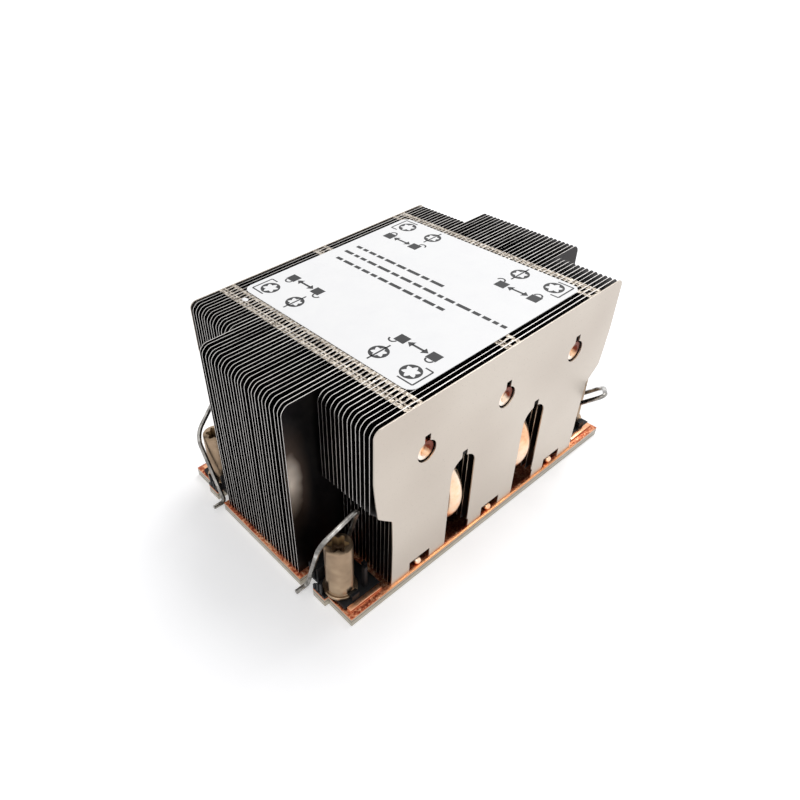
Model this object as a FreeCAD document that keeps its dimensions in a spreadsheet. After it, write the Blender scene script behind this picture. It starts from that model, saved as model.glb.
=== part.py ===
"""Passive heatsink for a server processor, in millimetres.

A stack of thin fins stands on a copper base. Five bent heat pipes lie flat on the
base and return through the fins. Four captive nuts, each in a moulded clip with a
swinging wire bail, hold the base to the board below it.

+X runs along the air flow, +Y across the fins and +Z up. The origin is the centre
of the base's underside. Front is -X and right is -Y.
"""
import FreeCAD, Part
import math
import os
import Sketcher

doc = FreeCAD.newDocument("heatsink")

SIZES = {
    # Base
    "base_thickness": 3.2,
    "base_side_margin": 0.605,
    "base_half_length": 56.9,
    "base_nose_length": 59.0,
    "base_nose_inset": 10.0,
    "base_notch_floor": 54.6,
    "base_notch_width": 4.9,
    "base_tab_length": 58.3,
    "base_tab_width": 5.1,
    "rim_length": 11.5,
    "rim_width": 1.6,
    "rim_height": 1.0,
    "rim_offset": 1.2,
    # Fins
    "fin_top": 64.0,
    "fin_thickness": 0.35,
    "fin_pitch": 1.47,
    "side_fin_half": 48.2,
    "centre_fin_half": 58.0,
    "fin_corner": 3.0,
    "tab_centre": 35.4,
    "tab_width": 5.5,
    "tab_thickness": 0.4,
    # Recesses over the nuts, at both ends of the side fins
    "recess_depth": 6.8,
    "recess_wall_top": 29.6,
    "recess_bend_inset": 1.0,
    "recess_bend_rise": 1.6,
    "recess_wave_inset": 3.0,
    "recess_wave_height": 33.2,
    "recess_lip_height": 36.8,
    # Heat pipes
    "pipe_radius": 3.0,
    "pipe_pitch": 15.25,
    "tall_pipe_height": 47.5,
    "low_pipe_height": 31.1,
    "pipe_flat_width": 7.1,
    "pipe_flat_height": 4.0,
    "pipe_tip_radius": 1.5,
    "pipe_tip_length": 4.5,
    "pipe_gap": 0.3,
    "pipe_end_inset": 0.9,
    # Openings of the two end plates
    "keyhole_gap": 0.3,
    "keyhole_nub_width": 2.0,
    "keyhole_nub_height": 2.1,
    "plate_slot_half": 4.8,
    "plate_slot_rise": 1.9,
    "plate_slot_step": 0.6,
    "plate_slot_step_height": 3.8,
    "plate_notch_half": 4.0,
    # Nuts
    "nut_offset_along": 52.5,
    "nut_edge_inset": 9.5,
    "nut_radius": 3.95,
    "nut_top": 22.5,
    "nut_flange_radius": 4.9,
    "nut_flange_height": 0.95,
    "nut_barrel_radius": 3.2,
    "nut_foot": 0.4,
    "nut_thread_radius": 2.0,
    "nut_thread_depth": 12.0,
    "socket_outer_radius": 2.8,
    "socket_inner_radius": 2.05,
    "socket_depth": 4.0,
    "running_gap": 0.1,
    # Clips
    "clip_thickness": 1.0,
    "clip_edge_inset": 3.3,
    "clip_inner_reach": 5.3,
    "clip_front": 56.2,
    "clip_back": 43.4,
    "clip_block_reach": 9.0,
    "clip_block_back": 48.4,
    "clip_block_top": 9.5,
    "clip_rib_width": 0.8,
    "clip_rib_depth": 0.7,
    "clip_lug_width": 1.2,
    "clip_lug_half": 1.4,
    "clip_post_width": 1.2,
    "clip_post_top": 8.0,
    # Wires
    "bail_radius": 0.7,
    "bail_axis_reach": 7.3,
    "bail_axis_height": 4.3,
    "bail_front_leg": 57.9,
    "bail_back_leg": 46.2,
    "bail_foot_end": 43.1,
    "bail_tail_height": 1.6,
    "bail_tail_end": 62.0,
    "bail_elbow_height": 25.5,
    "bail_elbow_radius": 7.0,
    "bail_top_height": 34.5,
    "bail_top_radius": 1.6,
    "bail_bend_radius": 1.2,
    "bail_bore_gap": 0.06,
    # Label
    "label_half_length": 32.5,
    "label_edge_inset": 5.1,
    "label_thickness": 0.15,
    "label_corner": 3.0,
}

# Counts and places that are not lengths.
CENTRE_FINS = 25
SIDE_FINS = 13
FINS_PER_CENTRE_NODE = 2
PIPE_SIDES = 12
PIPE_BEND_STEPS = 7
WIRE_SIDES = 8
WIRE_TURN = 34
NUT_SIDES = 14
ARCH_STEPS = 5
SOCKET_CORNERS = 12
BARREL_SIDES = 12
TALL_PIPES = (-2, 0, 2)
LOW_PIPES = (-1, 1)
CORNERS = {
    "front_right": (-1, -1),
    "front_left": (-1, 1),
    "rear_right": (1, -1),
    "rear_left": (1, 1),
}
# How far each wire leans outward as it lies, in degrees from its upright place.
WIRE_LEAN = {"front_right": 17.0, "front_left": 26.0, "rear_right": 45.0, "rear_left": 45.0}

nodes = []


def make_sheet():
    """The sheet that holds every driving dimension under its own name."""
    sheet = doc.addObject("Spreadsheet::Sheet", "size")
    for row, (alias, value) in enumerate(SIZES.items(), start=1):
        sheet.set(f"A{row}", alias.replace("_", " "))
        sheet.set(f"B{row}", str(value))
        sheet.setAlias(f"B{row}", alias)
    doc.recompute()
    return sheet


def value_of(expression):
    """The number that an expression gives with the sheet's present sizes."""
    return float(sheet.evalExpression(str(expression)))


def keep(shape_object, name):
    """Name an object as one sub-part that is handed over."""
    shape_object.Label = name
    nodes.append(shape_object)
    return shape_object


def block(name, low, high):
    """A box between two corners, each given as three expressions."""
    solid = doc.addObject("Part::Box", name)
    for side, axis, start, end in zip(("Length", "Width", "Height"), "xyz", low, high):
        solid.setExpression(f"Placement.Base.{axis}", str(start))
        solid.setExpression(side, f"({end}) - ({start})")
    return solid


def join(name, pieces):
    fused = doc.addObject("Part::MultiFuse", name)
    fused.Shapes = pieces
    fused.Refine = True
    return fused


def overlap(name, pieces):
    common = doc.addObject("Part::MultiCommon", name)
    common.Shapes = pieces
    return common


def cut(name, base, tool):
    remainder = doc.addObject("Part::Cut", name)
    remainder.Base = base
    remainder.Tool = tool
    return remainder


def new_body(name):
    body = doc.addObject("PartDesign::Body", name)
    doc.recompute()
    return body


def sketch_on(body, name, plane, height=None):
    """An empty sketch on one of the body's origin planes, raised by an expression."""
    sketch = body.newObject("Sketcher::SketchObject", name)
    origin_plane = next(f for f in body.Origin.OriginFeatures if f.Role == plane)
    sketch.AttachmentSupport = (origin_plane, [""])
    sketch.MapMode = "FlatFace"
    if height is not None:
        sketch.setExpression("AttachmentOffset.Base.z", height)
    return sketch


def add_loop(sketch, points):
    """A closed polygon through points given as pairs of expressions."""
    numbers = [FreeCAD.Vector(value_of(u), value_of(v), 0) for u, v in points]
    ends = numbers[1:] + numbers[:1]
    first = sketch.GeometryCount
    sketch.addGeometry([Part.LineSegment(a, b) for a, b in zip(numbers, ends)], False)
    count = len(points)
    links = []
    for index in range(count):
        following = first + (index + 1) % count
        links.append(Sketcher.Constraint("Coincident", first + index, 2, following, 1))
    sketch.addConstraint(links)
    for index, (u, v) in enumerate(points):
        line = first + index
        for kind, place in (("DistanceX", u), ("DistanceY", v)):
            number = sketch.addConstraint(Sketcher.Constraint(kind, -1, 1, line, 1, value_of(place)))
            sketch.setExpression(f"Constraints[{number}]", str(place))


def add_circle(sketch, centre, radius):
    """A circle whose centre and radius are expressions."""
    place = FreeCAD.Vector(value_of(centre[0]), value_of(centre[1]), 0)
    circle = Part.Circle(place, FreeCAD.Vector(0, 0, 1), value_of(radius))
    number = sketch.addGeometry(circle, False)
    size = sketch.addConstraint(Sketcher.Constraint("Radius", number, value_of(radius)))
    sketch.setExpression(f"Constraints[{size}]", radius)
    for kind, expression in zip(("DistanceX", "DistanceY"), centre):
        row = sketch.addConstraint(
            Sketcher.Constraint(kind, -1, 1, number, 3, value_of(expression))
        )
        sketch.setExpression(f"Constraints[{row}]", expression)


def pad(body, sketch, length, both_ways=False):
    feature = body.newObject("PartDesign::Pad", sketch.Name + "_pad")
    feature.Profile = sketch
    feature.setExpression("Length", length)
    if both_ways:
        feature.SideType = "Symmetric"
    return feature


def rectangle(low, high):
    """The four corners of a rectangle, from two opposite corners."""
    return [low, (high[0], low[1]), high, (low[0], high[1])]


def all_quadrants(corner):
    """Repeat one quadrant's outline, given from the v axis round to the u axis."""
    loop = []
    for u_sign, v_sign, order in ((1, 1, 1), (1, -1, -1), (-1, -1, 1), (-1, 1, -1)):
        loop += [(f"{u_sign} * ({u})", f"{v_sign} * ({v})") for u, v in corner[::order]]
    return loop


# Expressions that several pieces share.
BASE_TOP = "size.base_thickness"
PLATE_INDEX = CENTRE_FINS // 2 + SIDE_FINS + 1
PLATE_PLACE = f"{PLATE_INDEX} * size.fin_pitch"
STACK_OUTSIDE = f"({PLATE_PLACE} + size.fin_thickness / 2)"
HALF_WIDTH = f"({STACK_OUTSIDE} + size.base_side_margin)"
NUT_ACROSS = f"({HALF_WIDTH} - size.nut_edge_inset)"
NOSE_HALF = f"({NUT_ACROSS} - size.base_nose_inset)"
BAIL_ACROSS = f"({NUT_ACROSS} - size.bail_axis_reach)"
CLIP_OUTER = f"({HALF_WIDTH} - size.clip_edge_inset)"
CLIP_INNER = f"({NUT_ACROSS} - size.clip_inner_reach)"
BLOCK_FRONT = f"({NUT_ACROSS} - size.clip_block_reach)"
RECESS_WALL = "(size.side_fin_half - size.recess_depth)"
FLAT_TOP = f"({BASE_TOP} + size.pipe_flat_height)"
PIPE_FLOOR = f"({BASE_TOP} + size.pipe_radius)"
NOTCH_OUTSIDE = f"({NOSE_HALF} + size.base_notch_width)"
TAB_OUTSIDE = f"({NOTCH_OUTSIDE} + size.base_tab_width)"
CLIP_TOP = f"({BASE_TOP} + size.clip_thickness)"
SLOT_HALF = "(size.pipe_flat_width / 2 + size.pipe_gap)"
PIPE_HOLE_HALF = "(size.pipe_radius + size.pipe_gap)"
BARREL_HOLE = f"(size.nut_barrel_radius / {math.cos(math.pi / BARREL_SIDES):.6f} + size.running_gap)"


def pipe_place(index):
    """Where a heat pipe stands along X. Odd and even pipes bend at opposite sides."""
    return f"{index} * size.pipe_pitch"


def pipe_height(index):
    """The height of a pipe's upper leg."""
    return "size.tall_pipe_height" if index in TALL_PIPES else "size.low_pipe_height"


def base_plate():
    """The base, with a nose at each end and a notch and a tab beside each nut."""
    body = new_body("base")
    outline = sketch_on(body, "base_outline", "XY_Plane")
    corner = [
        ("size.base_half_length", HALF_WIDTH),
        ("size.base_half_length", TAB_OUTSIDE),
        ("size.base_tab_length", TAB_OUTSIDE),
        ("size.base_tab_length", NOTCH_OUTSIDE),
        ("size.base_notch_floor", NOTCH_OUTSIDE),
        ("size.base_notch_floor", NOSE_HALF),
        ("size.base_nose_length", NOSE_HALF),
    ]
    add_loop(outline, all_quadrants(corner))
    for along, across in CORNERS.values():
        centre = (f"{along} * size.nut_offset_along", f"{across} * {NUT_ACROSS}")
        add_loop(outline, round_loop(BARREL_HOLE, BARREL_SIDES, centre))
    pad(body, outline, BASE_TOP)
    doc.recompute()
    rims = sketch_on(body, "base_rims", "XY_Plane", BASE_TOP)
    inside = f"({CLIP_OUTER} + size.running_gap)"
    for along, across in CORNERS.values():
        start = (f"{along} * (size.base_half_length - size.rim_offset)", f"{across} * {inside}")
        length = "(size.rim_offset + size.rim_length)"
        end = (
            f"{along} * (size.base_half_length - {length})",
            f"{across} * ({inside} + size.rim_width)",
        )
        add_loop(rims, rectangle(start, end))
    pad(body, rims, "size.rim_height")
    return keep(body, "base_plate")


def fin_end(half_length, with_recess):
    """The +X end of a fin's outline, from the base up to the top edge."""
    low = [(half_length, BASE_TOP)]
    if with_recess:
        low = [
            (RECESS_WALL, BASE_TOP),
            (RECESS_WALL, "size.recess_wall_top"),
            (f"{half_length} - size.recess_wave_inset", "size.recess_wave_height"),
            (half_length, "size.recess_lip_height"),
        ]
    return low + [
        (half_length, "size.fin_top - size.fin_corner"),
        (f"{half_length} - size.fin_corner", "size.fin_top"),
    ]


def fin_profile(name, half_length, slotted, with_recess):
    """A fin's shape drawn through the whole stack, to be sliced into single fins.

    The fins rest on the pipes' flat legs, and their feet reach the base outside
    the pipes. A pipe in slotted bends inside these fins, so they are open from
    its flat leg up to its upper leg.
    """
    body = new_body(name)
    sketch = sketch_on(body, name + "_outline", "XZ_Plane")
    pipes = sorted(TALL_PIPES + LOW_PIPES)
    relief_start = f"{pipe_place(pipes[0])} - {SLOT_HALF}"
    relief_end = f"{pipe_place(pipes[-1])} + {SLOT_HALF}"
    bottom = [(relief_start, BASE_TOP)]
    if pipes[0] not in slotted:
        bottom.append((relief_start, FLAT_TOP))
    for index in slotted:
        top = f"{pipe_height(index)} + {PIPE_HOLE_HALF}"
        left = f"{pipe_place(index)} - {SLOT_HALF}"
        right = f"{pipe_place(index)} + {SLOT_HALF}"
        bottom += [] if index == pipes[0] else [(left, FLAT_TOP)]
        bottom += [(left, top), (right, top)]
        bottom += [] if index == pipes[-1] else [(right, FLAT_TOP)]
    if pipes[-1] not in slotted:
        bottom.append((relief_end, FLAT_TOP))
    bottom.append((relief_end, BASE_TOP))
    end = fin_end(half_length, with_recess)
    other_end = [(f"-({u})", v) for u, v in reversed(end)]
    add_loop(sketch, bottom + end + other_end)
    for index in sorted(TALL_PIPES + LOW_PIPES):
        if index not in slotted:
            low = (f"{pipe_place(index)} - {PIPE_HOLE_HALF}", f"{pipe_height(index)} - {PIPE_HOLE_HALF}")
            high = (f"{pipe_place(index)} + {PIPE_HOLE_HALF}", f"{pipe_height(index)} + {PIPE_HOLE_HALF}")
            add_loop(sketch, rectangle(low, high))
    pad(body, sketch, f"2 * {HALF_WIDTH}", both_ways=True)
    return body


def tab_rows():
    """The front and rear rows of folded tabs, drawn through the whole stack."""
    rows = []
    for place in (-1, 1):
        centre = f"{place} * size.tab_centre"
        low = (f"{centre} - size.tab_width / 2", f"-{PLATE_PLACE}", "size.fin_top - size.tab_thickness")
        high = (f"{centre} + size.tab_width / 2", PLATE_PLACE, "size.fin_top")
        rows.append(block(f"tab_row_{place + 2}", low, high))
    return join("tab_rows", rows)


def slice_of_stack(name, start, end, shape):
    """The part of a stack-wide shape between two places along Y."""
    low = ("-size.base_nose_length", start, "0")
    high = ("size.base_nose_length", end, "size.fin_top")
    return overlap(name, [block(name + "_slab", low, high), shape])


def fin_pieces(index, profile, rows):
    """One fin sheet and the tabs that it folds over to its neighbour."""
    name = f"fin_{index + PLATE_INDEX}"
    middle = f"{index} * size.fin_pitch"
    near = f"({middle} - size.fin_thickness / 2)"
    far = f"({middle} + size.fin_thickness / 2)"
    neighbour = f"({near} + size.fin_pitch)"
    return [
        slice_of_stack(name + "_sheet", near, far, profile),
        slice_of_stack(name + "_tabs", far, neighbour, rows),
    ]


def fins(rows):
    """All inner fins. Those of the centre are joined in twos by their own tabs."""
    half_centre = CENTRE_FINS // 2
    right = fin_profile("right_profile", "size.side_fin_half", LOW_PIPES, True)
    left = fin_profile("left_profile", "size.side_fin_half", TALL_PIPES, True)
    centre = fin_profile("centre_profile", "size.centre_fin_half", (), False)
    for side, sign, profile in (("right", -1, right), ("left", 1, left)):
        for number in range(1, SIDE_FINS + 1):
            pieces = fin_pieces(sign * (half_centre + number), profile, rows)
            keep(join(f"side_{side}_{number}", pieces), f"side_fin_{side}_{number:02d}")
    indices = list(range(-half_centre, half_centre + 1))
    for number, start in enumerate(range(0, CENTRE_FINS, FINS_PER_CENTRE_NODE), start=1):
        pieces = []
        for index in indices[start:start + FINS_PER_CENTRE_NODE]:
            pieces += fin_pieces(index, centre, rows)
        keep(join(f"centre_{number}", pieces), f"centre_fins_{number:02d}")


def opening(name, points):
    """A prism through the whole stack with the given outline in X and Z."""
    body = new_body(name)
    sketch = sketch_on(body, name + "_outline", "XZ_Plane")
    add_loop(sketch, points)
    pad(body, sketch, f"2 * {HALF_WIDTH}", both_ways=True)
    return body


def arch(place, centre_height, radius, nub_top, steps):
    """The round top of an opening, from its left to its right, with a nub in the middle."""
    left = []
    for step in range(steps):
        angle = math.pi * step / (2 * steps)
        left.append((
            f"{place} - {math.cos(angle):.6f} * {radius}",
            f"{centre_height} + {math.sin(angle):.6f} * {radius}",
        ))
    nub_half = "size.keyhole_nub_width / 2"
    left += [
        (f"{place} - {nub_half}", f"{centre_height} + sqrt({radius} ^ 2 - ({nub_half}) ^ 2)"),
        (f"{place} - {nub_half}", nub_top),
    ]
    right = [(u.replace(f"{place} -", f"{place} +", 1), v) for u, v in reversed(left)]
    return left + right


def keyhole(name, index):
    """The round opening at a pipe's end, with a narrow nub above it."""
    place = pipe_place(index)
    height = pipe_height(index)
    radius = "(size.pipe_radius + size.keyhole_gap)"
    top = arch(place, height, radius, f"{height} + {radius} + size.keyhole_nub_height", ARCH_STEPS)
    lower = []
    for step in range(1, 2 * ARCH_STEPS):
        angle = -math.pi * step / (2 * ARCH_STEPS)
        lower.append((
            f"{place} + {math.cos(angle):.6f} * {radius}",
            f"{height} + {math.sin(angle):.6f} * {radius}",
        ))
    return opening(name, top + lower)


def plate_slot(name, index):
    """The tall round-topped opening where a pipe's bend shows, with a step at its foot."""
    place = pipe_place(index)
    half = "size.plate_slot_half"
    shoulder = f"({pipe_height(index)} + size.pipe_radius + size.plate_slot_rise - {half})"
    top = arch(place, shoulder, half, f"{shoulder} + {half} + size.keyhole_nub_height", ARCH_STEPS)
    step_top = f"{BASE_TOP} + size.plate_slot_step_height"
    foot = [
        (f"{place} + {half}", step_top),
        (f"{place} + {half} + size.plate_slot_step", step_top),
        (f"{place} + {half} + size.plate_slot_step", "0"),
        (f"{place} - {half}", "0"),
    ]
    return opening(name, top + foot)


def recess_cutter():
    """The wavy-edged corner that the side fins leave free over each nut."""
    body = new_body("recess")
    sketch = sketch_on(body, "recess_outline", "XZ_Plane")
    for sign in (-1, 1):
        points = [
            (RECESS_WALL, "0"),
            (RECESS_WALL, "size.recess_wall_top"),
            (f"{RECESS_WALL} + size.recess_bend_inset", "size.recess_wall_top + size.recess_bend_rise"),
            ("size.side_fin_half - size.recess_wave_inset", "size.recess_wave_height"),
            ("size.side_fin_half", "size.recess_lip_height"),
            ("size.base_nose_length", "size.recess_lip_height"),
            ("size.base_nose_length", "0"),
        ]
        add_loop(sketch, [(f"{sign} * ({u})", v) for u, v in points])
    body.AllowCompound = True
    pad(body, sketch, f"2 * {HALF_WIDTH}", both_ways=True)
    return body


def end_plate(side, sign, slotted, recess, rows):
    """The flat plate that closes the stack at one side."""
    middle = f"{sign * PLATE_INDEX} * size.fin_pitch"
    near = f"({middle} - size.fin_thickness / 2)"
    far = f"({middle} + size.fin_thickness / 2)"
    sheet = block(
        f"plate_{side}_sheet",
        ("-size.side_fin_half", near, BASE_TOP),
        ("size.side_fin_half", far, "size.fin_top"),
    )
    tools = [recess]
    for index in sorted(TALL_PIPES + LOW_PIPES):
        name = f"plate_{side}_opening_{index + 3}"
        if index in slotted:
            tools.append(plate_slot(name, index))
            continue
        tools.append(keyhole(name, index))
        low = (f"{pipe_place(index)} - size.plate_notch_half", f"-{HALF_WIDTH}", "0")
        high = (
            f"{pipe_place(index)} + size.plate_notch_half",
            HALF_WIDTH,
            f"{FLAT_TOP} + size.running_gap",
        )
        tools.append(block(name + "_notch", low, high))
    plate = cut(f"plate_{side}_cut", sheet, join(f"plate_{side}_tools", tools))
    if sign < 0:
        neighbour = f"({near} + size.fin_pitch)"
        tabs = slice_of_stack(f"plate_{side}_tabs", far, neighbour, rows)
        plate = join(f"plate_{side}", [plate, tabs])
    return keep(plate, f"end_plate_{side}")


def ring(centre, tangent, across, half_across, half_other, sides):
    """Corners around a centreline of a polygon whose flats lie at the given half sizes."""
    other = tangent.cross(across)
    reach = 1 / math.cos(math.pi / sides)
    corners = []
    for step in range(sides):
        angle = 2 * math.pi * (step + 0.5) / sides
        offset = across * (half_across * math.cos(angle)) + other * (half_other * math.sin(angle))
        corners.append(centre + offset * reach)
    return corners


def flat_face(corners):
    return Part.Face(Part.makePolygon(corners + corners[:1]))


def tube_through(rings):
    """A solid with straight walls from each ring to the next and flat ends.

    A wall that would be twisted is folded along its diagonal.
    """
    faces = [flat_face(rings[0]), flat_face(rings[-1])]
    for near, far in zip(rings, rings[1:]):
        for step in range(len(near)):
            following = (step + 1) % len(near)
            first, second = near[step], near[following]
            third, fourth = far[following], far[step]
            out_of_plane = abs((second - first).cross(third - first).normalize().dot(fourth - first))
            if out_of_plane < 1e-6:
                faces.append(flat_face([first, second, third, fourth]))
            else:
                faces.append(flat_face([first, second, third]))
                faces.append(flat_face([first, third, fourth]))
    shell = Part.makeShell(faces)
    shell.sewShape()
    solid = Part.makeSolid(shell)
    if solid.Volume < 0:
        solid.reverse()
    return solid


def heat_pipe(number, index):
    """A round pipe bent back over itself, with its lower leg pressed flat on the base.

    Tall pipes bend at the left side and low ones at the right. The lower leg ends
    in a drawn-down tip below the open end of the upper leg.
    """
    radius = sheet.pipe_radius
    height = value_of(pipe_height(index))
    floor = value_of(PIPE_FLOOR)
    bend = (height - floor) / 2
    side = 1 if index in TALL_PIPES else -1
    outside = value_of(STACK_OUTSIDE)
    bend_start = outside - radius - bend
    open_end = sheet.pipe_end_inset - outside
    tip_start = open_end + sheet.pipe_tip_length
    last_centre_fin = (CENTRE_FINS // 2) * sheet.fin_pitch + sheet.fin_thickness
    flat_start = max(bend_start, last_centre_fin)
    flat_middle = sheet.base_thickness + sheet.pipe_flat_height / 2
    flat_halves = (sheet.pipe_flat_width / 2, sheet.pipe_flat_height / 2)
    tip_halves = (sheet.pipe_tip_radius, sheet.pipe_tip_radius)

    places = [(open_end, height, 90, (radius, radius))]
    for step in range(PIPE_BEND_STEPS):
        angle = 90 - 180 * step / PIPE_BEND_STEPS
        turn = math.radians(angle)
        along = bend_start + bend * math.cos(turn)
        places.append((along, floor + bend + bend * math.sin(turn), angle, (radius, radius)))
    places += [
        (flat_start, flat_middle, -90, flat_halves),
        (tip_start, flat_middle, -90, flat_halves),
        (tip_start - sheet.pipe_tip_length / 2, flat_middle, -90, tip_halves),
        (open_end, flat_middle, -90, tip_halves),
    ]
    across = FreeCAD.Vector(1, 0, 0)
    rings = []
    for along, up, angle, halves in places:
        turn = math.radians(angle)
        tangent = FreeCAD.Vector(0, side * math.sin(turn), -math.cos(turn))
        centre = FreeCAD.Vector(0, side * along, up)
        rings.append(ring(centre, tangent, across, halves[0], halves[1], PIPE_SIDES))
    pipe = doc.addObject("Part::Feature", f"pipe_{number}")
    pipe.Shape = tube_through(rings)
    pipe.setExpression("Placement.Base.x", pipe_place(index))
    return keep(pipe, f"heat_pipe_{number}")


def round_loop(radius, sides, centre=("0", "0")):
    """A regular polygon whose flats lie at the given radius from its centre."""
    reach = 1 / math.cos(math.pi / sides)
    points = []
    for step in range(sides):
        angle = 2 * math.pi * (step + 0.5) / sides
        along = f"{centre[0]} + {reach * math.cos(angle):.6f} * ({radius})"
        points.append((along, f"{centre[1]} + {reach * math.sin(angle):.6f} * ({radius})"))
    return points


def nut(corner):
    """A captive nut: a tall round head with a six-lobe socket, a flange and a barrel."""
    along, across = CORNERS[corner]
    name = f"nut_{corner}"
    body = new_body(name + "_body")
    flange_bottom = f"({CLIP_TOP} + size.running_gap)"
    flange_top = f"({flange_bottom} + size.nut_flange_height)"
    for piece, radius, sides, bottom, top in (
        ("flange", "size.nut_flange_radius", NUT_SIDES, flange_bottom, flange_top),
        ("head", "size.nut_radius", NUT_SIDES, flange_top, "size.nut_top"),
        ("barrel", "size.nut_barrel_radius", BARREL_SIDES, "size.nut_foot", flange_bottom),
    ):
        section = sketch_on(body, f"{name}_{piece}", "XY_Plane", bottom)
        add_loop(section, round_loop(radius, sides))
        pad(body, section, f"{top} - {bottom}")
        doc.recompute()

    thread = sketch_on(body, name + "_thread", "XY_Plane", "size.nut_foot")
    add_circle(thread, ("0", "0"), "size.nut_thread_radius")
    bore = body.newObject("PartDesign::Pocket", name + "_bore")
    bore.Profile = thread
    bore.setExpression("Length", "size.nut_thread_depth")
    bore.Reversed = True
    doc.recompute()

    socket = sketch_on(body, name + "_socket", "XY_Plane", "size.nut_top")
    lobes = []
    for step in range(SOCKET_CORNERS):
        radius = "size.socket_outer_radius" if step % 2 == 0 else "size.socket_inner_radius"
        angle = 2 * math.pi * step / SOCKET_CORNERS
        lobes.append((f"{math.cos(angle):.6f} * {radius}", f"{math.sin(angle):.6f} * {radius}"))
    add_loop(socket, lobes)
    pocket = body.newObject("PartDesign::Pocket", name + "_recess")
    pocket.Profile = socket
    pocket.setExpression("Length", "size.socket_depth")
    body.setExpression("Placement.Base.x", f"{along} * size.nut_offset_along")
    body.setExpression("Placement.Base.y", f"{across} * {NUT_ACROSS}")
    return keep(body, name)


def clip_solid():
    """The moulded clip of the +X +Y corner: a plate, a ribbed block, a lug and a post."""
    body = new_body("clip")
    plan = sketch_on(body, "clip_plan", "XY_Plane", BASE_TOP)
    lug_inner = f"({BAIL_ACROSS} - size.clip_lug_half)"
    lug_back = "(size.clip_back + size.clip_lug_width)"
    add_loop(plan, [
        ("size.clip_front", CLIP_OUTER),
        ("size.clip_back", CLIP_OUTER),
        ("size.clip_back", lug_inner),
        (lug_back, lug_inner),
        (lug_back, CLIP_INNER),
        ("size.clip_block_back", CLIP_INNER),
        ("size.clip_block_back", BLOCK_FRONT),
        ("size.clip_front", BLOCK_FRONT),
    ])
    centre = ("size.nut_offset_along", NUT_ACROSS)
    add_loop(plan, round_loop(BARREL_HOLE, BARREL_SIDES, centre))
    pad(body, plan, "size.clip_thickness")
    doc.recompute()

    ribs = sketch_on(body, "clip_ribs", "XY_Plane", BASE_TOP)
    groove_floor = "size.clip_front - size.clip_rib_depth"
    comb = [("size.clip_block_back", BLOCK_FRONT)]
    for number in range(3):
        start = f"({BLOCK_FRONT} + {2 * number} * size.clip_rib_width)"
        end = f"({start} + size.clip_rib_width)"
        if number > 0:
            comb.append((groove_floor, start))
        comb += [("size.clip_front", start), ("size.clip_front", end)]
        if number < 2:
            comb.append((groove_floor, end))
    comb.append(("size.clip_block_back", f"({BLOCK_FRONT} + 5 * size.clip_rib_width)"))
    add_loop(ribs, comb)
    pad(body, ribs, f"size.clip_block_top - {BASE_TOP}")
    doc.recompute()

    lug = sketch_on(body, "clip_lug", "XY_Plane", BASE_TOP)
    lug_outer = f"({BAIL_ACROSS} + size.clip_lug_half)"
    add_loop(lug, rectangle(("size.clip_back", lug_inner), (lug_back, lug_outer)))
    pad(body, lug, f"size.bail_axis_height + size.clip_lug_half - {BASE_TOP}")
    doc.recompute()

    post = sketch_on(body, "clip_post", "XY_Plane", BASE_TOP)
    post_side = NUT_ACROSS
    add_loop(post, rectangle(
        ("size.clip_back", post_side),
        ("size.clip_back + size.clip_post_width", f"{post_side} + size.clip_post_width"),
    ))
    pad(body, post, f"size.clip_post_top - {BASE_TOP}")
    doc.recompute()

    bore = sketch_on(body, "clip_bore", "YZ_Plane", "size.clip_back")
    pivot = (BAIL_ACROSS, "size.bail_axis_height")
    add_loop(bore, round_loop("size.bail_radius + size.bail_bore_gap", BARREL_SIDES, pivot))
    hole = body.newObject("PartDesign::Pocket", "clip_bore_pocket")
    hole.Profile = bore
    hole.setExpression("Length", "size.clip_lug_width")
    hole.Reversed = True
    return body


def clips():
    """The clip is moulded for one corner and mirrored for the other three."""
    source = clip_solid()
    for corner, (along, across) in CORNERS.items():
        clip = source
        for sign, normal in ((along, FreeCAD.Vector(1, 0, 0)), (across, FreeCAD.Vector(0, 1, 0))):
            if sign < 0:
                mirror = doc.addObject("Part::Mirroring", f"clip_{corner}_mirror")
                mirror.Source = clip
                mirror.Normal = normal
                clip = mirror
        keep(clip, f"clip_{corner}")


def rounded_path(points, radii):
    """Places and directions along straight runs joined by arcs of the given radii."""
    stations = [(points[0], (points[1] - points[0]).normalize())]
    for before, corner, after, radius in zip(points, points[1:], points[2:], radii):
        inward = (before - corner).normalize()
        outward = (after - corner).normalize()
        turn = math.pi - inward.getAngle(outward)
        first = corner + inward * (radius * math.tan(turn / 2))
        centre = corner + (inward + outward).normalize() * (radius / math.cos(turn / 2))
        normal = outward.cross(inward)
        steps = max(1, round(math.degrees(turn) / WIRE_TURN))
        for step in range(steps + 1):
            swing = FreeCAD.Rotation(normal, math.degrees(turn) * step / steps)
            stations.append((centre + swing.multVec(first - centre), swing.multVec(-inward)))
    stations.append((points[-1], (points[-1] - points[-2]).normalize()))
    return stations


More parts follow.
